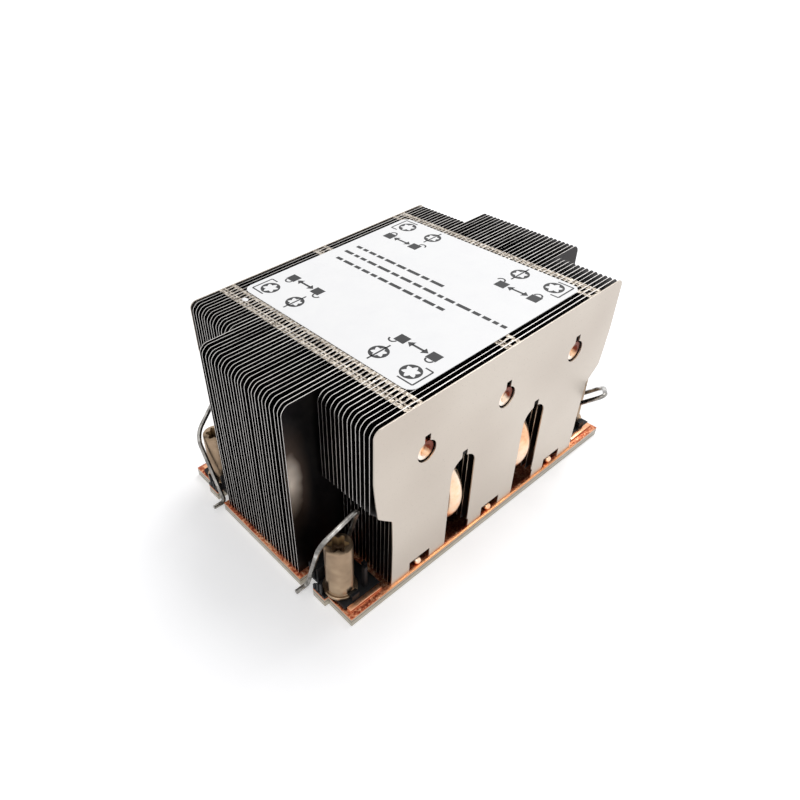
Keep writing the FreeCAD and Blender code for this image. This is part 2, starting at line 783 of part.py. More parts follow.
def wire_bail(corner):
    """A bent wire that swings in the clip's lug and arches over the nut.

    Its front leg drops through the base's notch and ends in a short tail that
    points away from the base.
    """
    along, across = CORNERS[corner]
    height = sheet.bail_axis_height
    reach = value_of(BAIL_ACROSS)
    points = [
        (sheet.bail_tail_end, sheet.bail_tail_height),
        (sheet.bail_front_leg, sheet.bail_tail_height),
        (sheet.bail_front_leg, sheet.bail_elbow_height),
        (sheet.bail_back_leg, sheet.bail_top_height),
        (sheet.bail_back_leg, height),
        (sheet.bail_foot_end, height),
    ]
    bend = sheet.bail_bend_radius
    radii = [bend, sheet.bail_elbow_radius, sheet.bail_top_radius, bend]
    path = rounded_path([FreeCAD.Vector(along * x, across * reach, z) for x, z in points], radii)
    side = FreeCAD.Vector(0, 1, 0)
    rings = []
    for centre, tangent in path:
        side = (side - tangent * side.dot(tangent)).normalize()
        flat = sheet.bail_radius * math.cos(math.pi / WIRE_SIDES)
        rings.append(ring(centre, tangent, side, flat, flat, WIRE_SIDES))
    wire = doc.addObject("Part::Feature", f"wire_{corner}_solid")
    wire.Shape = tube_through(rings)
    lean = FreeCAD.Rotation(FreeCAD.Vector(1, 0, 0), -across * WIRE_LEAN[corner])
    pivot = FreeCAD.Vector(0, across * reach, height)
    wire.Placement = FreeCAD.Placement(FreeCAD.Vector(), lean, pivot)
    return keep(wire, f"wire_{corner}")


def label():
    """The thin rounded sheet stuck on the fins between the front and rear tab rows."""
    body = new_body("label_body")
    outline = sketch_on(body, "label_outline", "XY_Plane", "size.fin_top")
    half_width = f"({HALF_WIDTH} - size.label_edge_inset)"
    low = ("-size.label_half_length", f"-{half_width}")
    high = ("size.label_half_length", half_width)
    add_loop(outline, rectangle(low, high))
    sheet_pad = pad(body, outline, "size.label_thickness")
    doc.recompute()
    rounded = body.newObject("PartDesign::Fillet", "label_corners")
    upright = [
        f"Edge{number}"
        for number, edge in enumerate(sheet_pad.Shape.Edges, start=1)
        if abs(edge.tangentAt(edge.FirstParameter).z) > 0.9
    ]
    rounded.Base = (sheet_pad, upright)
    rounded.setExpression("Radius", "size.label_corner")
    return keep(body, "label")


def check_document():
    """Stop if an object failed or a sub-part has no valid solid."""
    for item in doc.Objects:
        if "Invalid" in item.State or "Error" in item.State:
            raise RuntimeError(f"{item.Name} failed: {item.State}")
    for item in nodes:
        if item.Shape.isNull() or not item.Shape.isValid() or not item.Shape.Solids:
            raise RuntimeError(f"{item.Label} has no valid solid")


sheet = make_sheet()
base_plate()
for number, index in enumerate(sorted(TALL_PIPES + LOW_PIPES), start=1):
    heat_pipe(number, index)
rows = tab_rows()
recess = recess_cutter()
end_plate("right", -1, LOW_PIPES, recess, rows)
end_plate("left", 1, TALL_PIPES, recess, rows)
fins(rows)
clips()
for corner in CORNERS:
    nut(corner)
    wire_bail(corner)
label()
doc.recompute()
check_document()

os.makedirs("parts", exist_ok=True)
for item in nodes:
    item.Shape.exportStep(f"parts/{item.Label}.step")
    print(item.Label, len(item.Shape.Solids), round(item.Shape.Volume, 1))
print(len(nodes), "sub-parts")
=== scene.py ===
# %% [markdown]
# # A passive server heatsink
#
# The real object is a stack of very thin plated fins on a copper base. Bent heat
# pipes carry heat from the base up into the fins, and four captive nuts with wire
# bails hold it to the board.
#
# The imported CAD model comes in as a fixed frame. This lesson dresses it: each cell
# rebuilds or finishes one kind of piece, always in the place that the CAD gives.

# %% Load the frame
import math
import random

import bmesh
import bpy
from mathutils import Matrix, Vector


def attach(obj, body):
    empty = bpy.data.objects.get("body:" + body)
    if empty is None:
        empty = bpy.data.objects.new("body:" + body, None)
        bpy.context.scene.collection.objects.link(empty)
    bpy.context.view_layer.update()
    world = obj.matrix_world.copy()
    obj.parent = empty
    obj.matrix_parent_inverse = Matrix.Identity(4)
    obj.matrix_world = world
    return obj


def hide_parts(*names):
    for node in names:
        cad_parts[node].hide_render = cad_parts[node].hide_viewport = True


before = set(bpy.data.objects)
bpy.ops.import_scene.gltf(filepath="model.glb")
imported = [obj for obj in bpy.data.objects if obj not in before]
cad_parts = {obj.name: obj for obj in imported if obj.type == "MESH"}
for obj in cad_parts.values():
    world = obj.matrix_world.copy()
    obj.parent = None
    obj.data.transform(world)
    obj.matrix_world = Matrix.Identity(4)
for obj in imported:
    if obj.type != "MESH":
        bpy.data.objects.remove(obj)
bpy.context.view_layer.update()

MM = 0.001

# %% [markdown]
# ## Camera
#
# A photo's viewpoint can be found by matching known edges of the object. The
# numbers here come from such a fit: the camera stands in front of the right front
# corner and looks down at about 40 degrees. The small shift places the object in
# the frame as the photo does.

# %% Place the camera
CAMERA_PLACE = Vector((-121.68, -115.87, 159.82)) * MM
CAMERA_YAW, CAMERA_PITCH, CAMERA_ROLL = 0.92496, 0.69083, -0.06942
IMAGE_SIDE = 800
FOCAL_PIXELS = 664.97
AXIS_OFFSET = (-83.84, 8.82)
SENSOR_WIDTH = 36
NEAREST_SEEN = 0.01


def camera_matrix():
    """The camera's own axes, from where it looks and how it is rolled."""
    forward = Vector((
        math.cos(CAMERA_PITCH) * math.cos(CAMERA_YAW),
        math.cos(CAMERA_PITCH) * math.sin(CAMERA_YAW),
        -math.sin(CAMERA_PITCH),
    ))
    level = forward.cross(Vector((0, 0, 1))).normalized()
    raised = level.cross(forward)
    right = level * math.cos(CAMERA_ROLL) + raised * math.sin(CAMERA_ROLL)
    up = raised * math.cos(CAMERA_ROLL) - level * math.sin(CAMERA_ROLL)
    turn = Matrix((right, up, -forward)).transposed().to_4x4()
    return Matrix.Translation(CAMERA_PLACE) @ turn


lens = bpy.data.cameras.new("photo_camera")
lens.sensor_width = SENSOR_WIDTH
lens.lens = FOCAL_PIXELS * SENSOR_WIDTH / IMAGE_SIDE
lens.shift_x = -AXIS_OFFSET[0] / IMAGE_SIDE
lens.shift_y = AXIS_OFFSET[1] / IMAGE_SIDE
lens.clip_start = NEAREST_SEEN
camera = bpy.data.objects.new("photo_camera", lens)
camera.matrix_world = camera_matrix()
bpy.context.scene.collection.objects.link(camera)
bpy.context.scene.camera = camera
bpy.context.scene.view_settings.view_transform = "Standard"
print("lens", round(lens.lens, 2), "mm")

# %% [markdown]
# ## Helpers for materials
#
# Colours are easiest to compare with a photo as sRGB hex values, but shaders work
# in linear light. One function converts them, and one adds a node with its
# settings and links, so that each material reads as a short list.

# %% Colour and node helpers


def hex_colour(text):
    """An sRGB hex value as linear red, green, blue and an alpha of 1."""
    channels = []
    for start in (0, 2, 4):
        value = int(text[start:start + 2], 16) / 255
        channels.append(value / 12.92 if value <= 0.04045 else ((value + 0.055) / 1.055) ** 2.4)
    return (*channels, 1.0)


def add_node(tree, kind, links=None, inputs=None, **settings):
    """Add a shader node, set its properties and constant inputs, and link sockets to it."""
    node = tree.nodes.new(kind)
    for name, value in settings.items():
        setattr(node, name, value)
    for name, value in (inputs or {}).items():
        node.inputs[name].default_value = value
    for name, source in (links or {}).items():
        tree.links.new(source, node.inputs[name])
    return node


def start_material(name, **surface):
    """A new material with its shader, and the object coordinates in millimetres."""
    material = bpy.data.materials.new(name)
    material.use_nodes = True
    tree = material.node_tree
    shader = tree.nodes["Principled BSDF"]
    for socket, value in surface.items():
        shader.inputs[socket.replace("_", " ")].default_value = value
    place = add_node(tree, "ShaderNodeTexCoord")
    scaled = add_node(tree, "ShaderNodeVectorMath", {0: place.outputs["Object"]}, operation="SCALE")
    scaled.inputs["Scale"].default_value = 1 / MM
    return material, tree, shader, scaled.outputs["Vector"]


def ramp(tree, source, stops):
    """A colour ramp from hex stops given as (place, colour)."""
    node = add_node(tree, "ShaderNodeValToRGB", {"Fac": source})
    while len(node.color_ramp.elements) < len(stops):
        node.color_ramp.elements.new(0.5)
    for element, (place, colour) in zip(node.color_ramp.elements, stops):
        element.position = place
        element.color = hex_colour(colour)
    return node.outputs["Color"]


def noise(tree, vector, grain_mm, detail=3.0, stretch=(1, 1, 1), roughness=0.55):
    """Noise whose features are about grain_mm across, drawn out along an axis by stretch."""
    mapped = add_node(
        tree, "ShaderNodeMapping", {"Vector": vector}, {"Scale": [1 / s for s in stretch]}
    )
    texture = add_node(
        tree,
        "ShaderNodeTexNoise",
        {"Vector": mapped.outputs["Vector"]},
        {"Scale": 1 / grain_mm, "Detail": detail, "Roughness": roughness},
    )
    return texture.outputs["Fac"]


def to_range(tree, source, low, high, start=0.0, end=1.0):
    """A value between start and end, mapped to between low and high."""
    node = add_node(
        tree,
        "ShaderNodeMapRange",
        {"Value": source},
        {"From Min": start, "From Max": end, "To Min": low, "To Max": high},
    )
    return node.outputs["Result"]


def mixed(tree, factor, first, second):
    """A blend of two colours, each a hex text or a socket."""
    node = add_node(tree, "ShaderNodeMix", data_type="RGBA")
    tree.links.new(factor, node.inputs[0])
    for socket, colour in ((node.inputs[6], first), (node.inputs[7], second)):
        if isinstance(colour, str):
            socket.default_value = hex_colour(colour)
        else:
            tree.links.new(colour, socket)
    return node.outputs[2]


def relief(tree, shader, height, depth_mm, bevel_mm=0.0):
    """Bump from a height from 0 to 1, of a real depth, over edges rounded by bevel_mm."""
    depth = {"Strength": 1.0, "Distance": depth_mm * MM}
    bump = add_node(tree, "ShaderNodeBump", {"Height": height}, depth)
    if bevel_mm:
        edge = add_node(tree, "ShaderNodeBevel", inputs={"Radius": bevel_mm * MM}, samples=4)
        tree.links.new(edge.outputs["Normal"], bump.inputs["Normal"])
    tree.links.new(bump.outputs["Normal"], shader.inputs["Normal"])


def axis_of(tree, vector, axis):
    """One component of a vector."""
    return add_node(tree, "ShaderNodeSeparateXYZ", {"Vector": vector}).outputs[axis]


def calc(tree, operation, first, second=None):
    """A math node on two values, each a number or a socket."""
    node = add_node(tree, "ShaderNodeMath", operation=operation)
    for socket, value in zip(node.inputs, (first, second)):
        if value is None:
            continue
        if isinstance(value, (int, float)):
            socket.default_value = value
        else:
            tree.links.new(value, socket)
    return node.outputs[0]


def vector_calc(tree, operation, vector, constant=None):
    """A vector math node on a socket and perhaps a constant vector."""
    inputs = None if constant is None else {1: constant}
    node = add_node(tree, "ShaderNodeVectorMath", {0: vector}, inputs, operation=operation)
    return node.outputs["Value" if operation == "LENGTH" else "Vector"]


def distance_from(tree, value, centre):
    """How far a value is from a number."""
    return calc(tree, "ABSOLUTE", calc(tree, "SUBTRACT", value, centre))


def seen_directly(tree):
    """1 for rays from the camera, and those mirrored or let through; 0 for rays of light."""
    rays = add_node(tree, "ShaderNodeLightPath").outputs
    indirect = calc(tree, "MAXIMUM", rays["Is Glossy Ray"], rays["Is Transmission Ray"])
    return calc(tree, "MAXIMUM", rays["Is Camera Ray"], indirect)


def dress(tree, shader, tone, rough):
    """Give the shader its colour and its roughness."""
    tree.links.new(tone, shader.inputs["Base Color"])
    tree.links.new(rough, shader.inputs["Roughness"])


print("material helpers ready")

# %% [markdown]
# ## Plated sheet
#
# The fins and end plates are rolled sheet with a dull nickel plating. Rolling
# leaves faint lines along the sheet and handling leaves soft smudges. A metallic
# surface with a mid roughness gives the broad, warm grey sheen. The rolling lines
# are really finer than a tenth of a millimetre, so they are drawn a little coarser.

# %% Make the plated sheet materials
# Centre and spread, in millimetres, of a painted glow on the one open fin face.
FIN_GLOW_CENTRE = (-57.3, -17.8, 38.0)
FIN_GLOW_SPREAD = (4.2, 2.5, 14.0)


def plated_sheet():
    """The end plates' plating, with fine dark specks."""
    material, tree, shader, place = start_material("nickel_plated_sheet", Metallic=1.0)
    smudge = noise(tree, place, 30, 1)
    lines = noise(tree, place, 0.5, 2, stretch=(40, 1, 1))
    specks = noise(tree, place, 0.35, 1)
    tone = mixed(tree, to_range(tree, smudge, 0, 1, 0.35, 0.65), "C4BAAF", "CEC5BA")
    speck = to_range(tree, specks, 0, 0.35, 0.70, 0.76)
    tone = mixed(tree, speck, tone, "7E756B")
    rough = calc(tree, "ADD", to_range(tree, smudge, 0.30, 0.36), to_range(tree, lines, 0, 0.08))
    dress(tree, shader, tone, rough)
    relief(tree, shader, lines, 0.004, bevel_mm=0.08)
    return material


def fin_sheet():
    """The same plating on the inner fins. Their faces see only each other and are painted
    dark as painted shade; their edges get a light tone, partly brighter than the
    plating as a painted highlight.

    The one face that stands open, beside the front right nut, has a painted pale glow,
    a painted highlight.
    """
    material, tree, shader, place = start_material("nickel_plated_fin", Metallic=1.0)
    facing = add_node(tree, "ShaderNodeNewGeometry").outputs["True Normal"]
    across = calc(tree, "ABSOLUTE", axis_of(tree, facing, "Y"))
    on_face = to_range(tree, across, 0, 1, 0.6, 0.9)
    patch = noise(tree, place, 9, 2)
    # Painted shade: the fin faces, which see only each other, get a near-black tone.
    face_shade_and_glow = mixed(tree, to_range(tree, patch, 0, 1, 0.3, 0.7), "1E1C1F", "302D2C")
    # Painted highlight: a pale glow with a brown rim on the open fin face by the front right nut.
    offset = vector_calc(tree, "SUBTRACT", place, FIN_GLOW_CENTRE)
    away = vector_calc(tree, "LENGTH", vector_calc(tree, "DIVIDE", offset, FIN_GLOW_SPREAD))
    uneven = calc(tree, "ADD", away, to_range(tree, patch, -0.4, 0.4))
    face_shade_and_glow = mixed(tree, to_range(tree, uneven, 0.8, 0.0, 0.2, 1.6), face_shade_and_glow, "6E5B4E")
    face_shade_and_glow = mixed(tree, to_range(tree, uneven, 1.0, 0.0, -0.1, 0.9), face_shade_and_glow, "F3E6D8")
    # The fin edges get a light tone, partly brighter than the plating: a painted highlight.
    edge_tone_and_highlight = mixed(tree, noise(tree, place, 2.5, 2), "BDB8B4", "F4F1EE")
    dress(tree, shader, mixed(tree, on_face, edge_tone_and_highlight, face_shade_and_glow), to_range(tree, patch, 0.32, 0.48))
    relief(tree, shader, noise(tree, place, 0.4, 2, stretch=(1, 1, 30)), 0.003)
    return material


def tab_sheet():
    """The folded tabs: the same plating, grubby and uneven from the folding tool."""
    material, tree, shader, place = start_material("nickel_plated_tab", Metallic=1.0)
    dirt = noise(tree, place, 0.7, 3)
    tone = ramp(tree, dirt, ((0.36, "544B42"), (0.48, "9C9184"), (0.62, "D3CABD")))
    dress(tree, shader, tone, to_range(tree, dirt, 0.5, 0.3))
    relief(tree, shader, dirt, 0.02)
    return material


PLATED = plated_sheet()
FIN = fin_sheet()
TAB = tab_sheet()
print("materials:", PLATED.name, FIN.name, TAB.name)

# %% [markdown]
# ## Copper
#
# The top of the base and the heat pipes are bare copper. Heat from soldering leaves
# it mottled, from pale salmon to brick red. The base's raised rims and a strip along
# each end plate's foot are painted brighter as painted highlights, the copper under
# the fins is painted dark as painted shade, and each pipe's closed end has a painted
# shade on one side and a painted highlight on the other. The base is milled, plated
# at the sides and left bare on top, so its side shows three bands: silver, a thin
# dark joint and the copper's own edge.

# %% Make the copper materials
PIPE_PITCH_MM = 15.25
LOW_PIPE_MM, HIGH_PIPE_MM = 31.1, 47.5
PIPE_END_BEYOND, PIPE_END_ABOVE = 36.0, 27.0
PLATE_FOOT_HIGHLIGHT, PLATE_FOOT_HIGHLIGHT_END = (38.2, 38.6), (40.0, 48.0)
SHADE_UNDER_FINS, SHADE_UNDER_FINS_END = (37.4, 38.1), (40.5, 42.0)
RAISED_RIM_HIGHLIGHT = (3.6, 4.0)
JOINT_HEIGHT, JOINT_HALF = 2.0, 0.13
COPPER_EDGE = 2.9


def wrapped(tree, value, centre, half):
    """How far a value is from the nearest of many centres, 2 * half apart."""
    node = add_node(
        tree, "ShaderNodeMath", {0: value}, {1: centre + half, 2: centre - half}, operation="WRAP"
    )
    return calc(tree, "SUBTRACT", node.outputs[0], centre)


def pipe_copper():
    """Bare copper; each pipe's closed end has a painted shade on one side and a painted highlight
    on the other.
    """
    material, tree, shader, place = start_material("bare_copper_pipe", Metallic=1.0)
    mottle = noise(tree, place, 9.0, 5, roughness=0.65)
    tone = ramp(tree, mottle, ((0.28, "E09A70"), (0.44, "FFD0A6"), (0.60, "FFE9D2")))
    height = axis_of(tree, place, "Z")
    lengthwise = axis_of(tree, place, "X")
    along = wrapped(tree, lengthwise, 0.0, PIPE_PITCH_MM / 2)
    upward = wrapped(tree, height, LOW_PIPE_MM, (HIGH_PIPE_MM - LOW_PIPE_MM) / 2)
    slope = calc(tree, "ADD", along, calc(tree, "MULTIPLY", upward, 0.8))
    slope = calc(tree, "ADD", slope, to_range(tree, noise(tree, place, 1.2, 2), -0.8, 0.8))
    side = axis_of(tree, place, "Y")
    beyond = calc(tree, "GREATER_THAN", calc(tree, "ABSOLUTE", side), PIPE_END_BEYOND)
    at_end = calc(tree, "MULTIPLY", beyond, calc(tree, "GREATER_THAN", height, PIPE_END_ABOVE))
    # Every second pipe ends on the left, the others on the right.
    to_left = calc(tree, "MULTIPLY", calc(tree, "GREATER_THAN", side, 0.0), PIPE_PITCH_MM)
    shifted = calc(tree, "ADD", lengthwise, to_left)
    from_end = calc(tree, "ABSOLUTE", wrapped(tree, shifted, 0.0, PIPE_PITCH_MM))
    ends_here = calc(tree, "LESS_THAN", from_end, PIPE_PITCH_MM / 2)
    at_end = calc(tree, "MULTIPLY", at_end, ends_here)
    # Painted shade on one side of each closed pipe end, and a painted highlight on the other.
    painted_shade_side = calc(tree, "MULTIPLY", at_end, to_range(tree, slope, 0, 1, -0.3, 1.2))
    painted_highlight_side = calc(tree, "MULTIPLY", at_end, to_range(tree, slope, 1, 0, -2.6, -1.2))
    tone = mixed(tree, painted_shade_side, tone, "6E3222")
    tone = mixed(tree, painted_highlight_side, tone, "FFF2E6")
    dress(tree, shader, tone, to_range(tree, mottle, 0.36, 0.22))
    relief(tree, shader, noise(tree, place, 0.5, 2), 0.006)
    return material


def plated_base():
    """Mottled copper on top with painted highlights and shade; silver, a dark joint and a copper
    edge at the sides.
    """
    material, tree, shader, place = start_material("copper_base_plated_sides", Metallic=1.0)
    facing = add_node(tree, "ShaderNodeNewGeometry").outputs["True Normal"]
    upward = to_range(tree, axis_of(tree, facing, "Z"), 0, 1, 0.4, 0.6)
    mottle = noise(tree, place, 0.8, 6, roughness=0.7)
    broad = noise(tree, place, 5, 2)
    cloud = calc(
        tree, "ADD", calc(tree, "MULTIPLY", mottle, 0.7), calc(tree, "MULTIPLY", broad, 0.3)
    )
    stops = ((0.36, "6B2A1E"), (0.45, "A34E36"), (0.53, "D68860"), (0.62, "FFD3AE"))
    copper = ramp(tree, cloud, stops)
    height = axis_of(tree, place, "Z")
    outermost = calc(tree, "ABSOLUTE", axis_of(tree, place, "Y"))
    lengthwise = calc(tree, "ABSOLUTE", axis_of(tree, place, "X"))
    # Painted highlight: a bright strip on the copper along the foot of each end plate.
    plate_foot_highlight = calc(
        tree,
        "MULTIPLY",
        to_range(tree, outermost, 0, 0.85, *PLATE_FOOT_HIGHLIGHT),
        to_range(tree, lengthwise, 1, 0, *PLATE_FOOT_HIGHLIGHT_END),
    )
    copper = mixed(tree, plate_foot_highlight, copper, "FFB880")
    # Painted highlight on the raised rims of the base.
    copper = mixed(tree, to_range(tree, height, 0, 0.7, *RAISED_RIM_HIGHLIGHT), copper, "FFC59B")
    # Painted shade: the copper under the fin stack is darkened nearly to black.
    shade_under_fins = calc(
        tree,
        "MULTIPLY",
        to_range(tree, outermost, 0.75, 0, *SHADE_UNDER_FINS),
        to_range(tree, lengthwise, 1, 0, *SHADE_UNDER_FINS_END),
    )
    copper = mixed(tree, shade_under_fins, copper, "34140E")
    wobble = calc(tree, "ADD", height, to_range(tree, noise(tree, place, 1.5, 2), -0.1, 0.1))
    silver = mixed(tree, noise(tree, place, 4, 3), "A39C8E", "BDB5A6")
    joint = calc(tree, "LESS_THAN", distance_from(tree, wobble, JOINT_HEIGHT), JOINT_HALF)
    sides = mixed(tree, joint, silver, "6A5A4C")
    rim = calc(tree, "GREATER_THAN", wobble, COPPER_EDGE)
    sides = mixed(tree, rim, sides, "D08A64")
    dress(tree, shader, mixed(tree, upward, sides, copper), to_range(tree, mottle, 0.20, 0.42))
    relief(tree, shader, mottle, 0.02, bevel_mm=0.12)
    return material


COPPER = pipe_copper()
BASE = plated_base()
print("materials:", COPPER.name, BASE.name)

# %% [markdown]
# ## Small parts and label
#
# The nuts are turned steel with a brown-gold zinc plating, so fine rings run round
# them. The bails are drawn spring wire, bright on top and darker where fingers
# touch. The clips are moulded black nylon with a fine grain. The label is white
# film, slightly glossy, with dark grey print.

# %% Make the materials of the small parts
NUT_CENTRE_MM = (52.5, 29.5)
SOCKET_WITHIN = 3.2
SOCKET_MIDDLE, SOCKET_HALF = 19.3, 3.05
SOCKET_SHADE = (18.6, 21.5)


def turned_nut():
    """Plated steel. The socket is left rough, so it scatters light instead of mirroring it, and is
    painted darker towards its floor as painted shade.
    """
    material, tree, shader, place = start_material("turned_nut_plated", Metallic=1.0)
    rings = noise(tree, place, 0.5, 2, stretch=(30, 30, 1))
    stain = noise(tree, place, 6, 2)
    tone = ramp(tree, stain, ((0.30, "8A7661"), (0.5, "9D8770"), (0.70, "B49D83")))
    squares = []
    for axis, centre in zip("XY", NUT_CENTRE_MM):
        aside = calc(tree, "SUBTRACT", calc(tree, "ABSOLUTE", axis_of(tree, place, axis)), centre)
        squares.append(calc(tree, "MULTIPLY", aside, aside))
    out = calc(tree, "SQRT", calc(tree, "ADD", *squares))
    height = axis_of(tree, place, "Z")
    inside = calc(
        tree,
        "MULTIPLY",
        calc(tree, "LESS_THAN", out, SOCKET_WITHIN),
        calc(tree, "LESS_THAN", distance_from(tree, height, SOCKET_MIDDLE), SOCKET_HALF),
    )
    # Painted shade: the socket is painted lighter near its mouth and darker towards its floor.
    painted_socket_shade = mixed(tree, to_range(tree, height, 1, 0, *SOCKET_SHADE), "A88A62", "4A3420")
    tree.links.new(to_range(tree, inside, 1.0, 0.25), shader.inputs["Metallic"])
    added = calc(tree, "MULTIPLY", inside, 0.2)
    rough = calc(tree, "ADD", to_range(tree, stain, 0.40, 0.28), added)
    dress(tree, shader, mixed(tree, inside, tone, painted_socket_shade), rough)
    relief(tree, shader, rings, 0.012)
    return material


def spring_wire():
    """Drawn wire, in parts dulled by handling."""
    material, tree, shader, place = start_material("drawn_spring_wire", Metallic=1.0)
    face_shade_and_glow = noise(tree, place, 3, 3)
    tone = ramp(tree, face_shade_and_glow, ((0.35, "6E6C69"), (0.55, "A5A29D"), (0.7, "D8D6D2")))
    dress(tree, shader, tone, to_range(tree, face_shade_and_glow, 0.36, 0.2))
    relief(tree, shader, noise(tree, place, 0.25, 2), 0.004)
    return material


def moulded_nylon():
    """Black plastic with a fine grain and a little dust."""
    material, tree, shader, place = start_material(
        "moulded_black_nylon", IOR=1.53, Specular_IOR_Level=0.25
    )
    dust = noise(tree, place, 2.2, 4)
    tone = mixed(tree, to_range(tree, dust, 0, 1, 0.4, 0.75), "08080A", "15161A")
    dress(tree, shader, tone, to_range(tree, dust, 0.4, 0.6))
    relief(tree, shader, noise(tree, place, 0.18, 2), 0.01, bevel_mm=0.1)
    return material


def printed_film(name, light, dark):
    """Smooth film or ink, between two close tones."""
    material, tree, shader, place = start_material(name, IOR=1.47)
    fibre = noise(tree, place, 6, 3)
    dress(tree, shader, mixed(tree, fibre, light, dark), to_range(tree, fibre, 0.34, 0.46))
    relief(tree, shader, noise(tree, place, 7, 1), 0.02)
    return material


NUT = turned_nut()
WIRE = spring_wire()
NYLON = moulded_nylon()
FILM = printed_film("white_label_film", "FFFFFF", "F6F6F8")
INK = printed_film("dark_grey_print", "252527", "1C1C1F")
print("materials:", NUT.name, WIRE.name, NYLON.name, FILM.name, INK.name)

# %% [markdown]
# ## Helpers for pieces
#
# Every new piece gets its mesh in place, rides on a CAD body and takes its material.
# Where a CAD solid already has the right outline, the easiest start is a copy of its
# mesh: its loose triangles are merged, flat areas are dissolved back into whole faces,
# and then corners can be bevelled.

# %% Helpers for pieces


def finish_piece(name, bm, body, material, replaced=(), smooth_angle=None):
    """Turn a bmesh into a piece that rides on a body and may stand for CAD nodes."""
    mesh = bpy.data.meshes.new(name)
    bmesh.ops.recalc_face_normals(bm, faces=bm.faces)
    if smooth_angle is not None:
        for face in bm.faces:
            face.smooth = True
        for edge in bm.edges:
            if len(edge.link_faces) == 2 and edge.calc_face_angle() > smooth_angle:
                edge.smooth = False
    bm.to_mesh(mesh)
    bm.free()
    mesh.materials.append(material)
    piece = bpy.data.objects.new(name, mesh)
    bpy.context.scene.collection.objects.link(piece)
    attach(piece, body)
    if replaced:
        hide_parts(*replaced)
    return piece


def tell(piece):
    print(piece.name, len(piece.data.polygons), "faces")


def bevel_edges(bm, edges, width, segments, kind="OFFSET"):
    """Bevel edges by a width, or by a share of their length where kind is PERCENT."""
    bmesh.ops.bevel(
        bm,
        geom=edges,
        offset=width,
        offset_type=kind,
        segments=segments,
        profile=0.5,
        affect="EDGES",
        clamp_overlap=True,
        material=-1,
    )


def merged_copy(node):
    """A CAD node's mesh with its doubles merged and its flat areas made whole."""
    bm = bmesh.new()
    bm.from_mesh(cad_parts[node].data)
    bmesh.ops.remove_doubles(bm, verts=bm.verts, dist=0.001 * MM)
    bmesh.ops.dissolve_limit(bm, angle_limit=math.radians(0.5), verts=bm.verts, edges=bm.edges)
    return bm


def runs_along(edge, axis):
    """Whether an edge is parallel to an axis."""
    direction = (edge.verts[1].co - edge.verts[0].co).normalized()
    return abs(direction[axis]) > 0.999


def keep_slab(bm, near, far):
    """Cut everything outside two planes across Y away, and close the cut."""
    for place, side in ((near, -1), (far, 1)):
        bmesh.ops.bisect_plane(
            bm,
            geom=bm.verts[:] + bm.edges[:] + bm.faces[:],
            dist=0.002 * MM,
            plane_co=(0, place, 0),
            plane_no=(0, side, 0),
            clear_outer=True,
        )
        open_edges = [edge for edge in bm.edges if edge.is_boundary]
        if open_edges:
            bmesh.ops.holes_fill(bm, edges=open_edges, sides=0)
    bmesh.ops.recalc_face_normals(bm, faces=bm.faces)


print("piece helpers ready")

# %% [markdown]
# ## Fins
#
# Each fin is one stamped sheet. In the CAD it is 0.35 mm thick and its upper corners
# are cut straight; the real ones are thinner and round, which gives the fine bright
# curved lines at the front of the stack. So each sheet is sliced out of its CAD node
# and thinned, and its corner edges are bevelled with several segments. Nothing holds
# the fins' free ends in line, so each end is pushed a few tenths of a millimetre
# sideways, always the same way on every run because the random numbers are seeded.

# %% Cut and round the fins
PITCH = 1.47 * MM
HALF_SHEET = 0.175 * MM
SEEN_THICKNESS = 0.55
FIN_TOP = 64.0 * MM
CENTRE_HALF = 12
SIDES = (("right", -1), ("left", 1))
CORNER_CUT = 3.0 * MM
CORNER_KEPT = 0.55
CORNER_WIDTH = 0.8 * MM
CORNER_SEGMENTS = 4
CORNER_DEPTH = 4 * MM
CORNER_TURN = (0.6, 1.0)
BEND_START = 37 * MM
SIDE_BEND, CENTRE_BEND = 0.16 * MM, 0.22 * MM
FIN_NUMBERS = range(1, 14)
random.seed(7)


def round_corners(bm):
    """Draw the cut corners at both ends of a sheet's top edge in, then bevel them."""
    reach = max(vert.co.x for vert in bm.verts)
    for vert in bm.verts:
        side = math.copysign(1, vert.co.x)
        inward, down = side * vert.co.x - reach, vert.co.z - FIN_TOP
        if abs(inward) + abs(down) < 1.02 * CORNER_CUT:
            vert.co.x = side * (reach + CORNER_KEPT * inward)
            vert.co.z = FIN_TOP + CORNER_KEPT * down
    corners = [
        edge
        for edge in bm.edges
        if runs_along(edge, 1)
        and edge.verts[0].co.z > FIN_TOP - CORNER_DEPTH
        and CORNER_TURN[0] < edge.calc_face_angle(0) < CORNER_TURN[1]
    ]
    bevel_edges(bm, corners, CORNER_WIDTH, CORNER_SEGMENTS)


def thin_sheet(bm, middle):
    """Bring both faces of a sheet nearer to its middle plane."""
    for vert in bm.verts:
        vert.co.y = middle + SEEN_THICKNESS * (vert.co.y - middle)


def bend_ends(bm, reach):
    """Push each free end of a sheet a little to the side."""
    half = max(vert.co.x for vert in bm.verts)
    for side in (-1, 1):
        push = random.uniform(-reach, reach)
        for vert in bm.verts:
            along = (side * vert.co.x - BEND_START) / (half - BEND_START)
            if along > 0:
                vert.co.y += push * along ** 2


def fin_sheets(name, node, indices, replaced, reach):
    """The sheets of one CAD fin node, rounded and slightly bent, as one piece."""
    whole = bmesh.new()
    for index in indices:
        single = merged_copy(node)
        keep_slab(single, index * PITCH - HALF_SHEET, index * PITCH + HALF_SHEET)
        thin_sheet(single, index * PITCH)
        round_corners(single)
        bend_ends(single, reach)
        part = bpy.data.meshes.new("part")
        single.to_mesh(part)
        single.free()
        whole.from_mesh(part)
        bpy.data.meshes.remove(part)
    return finish_piece(name, whole, "heatsink", FIN, replaced)


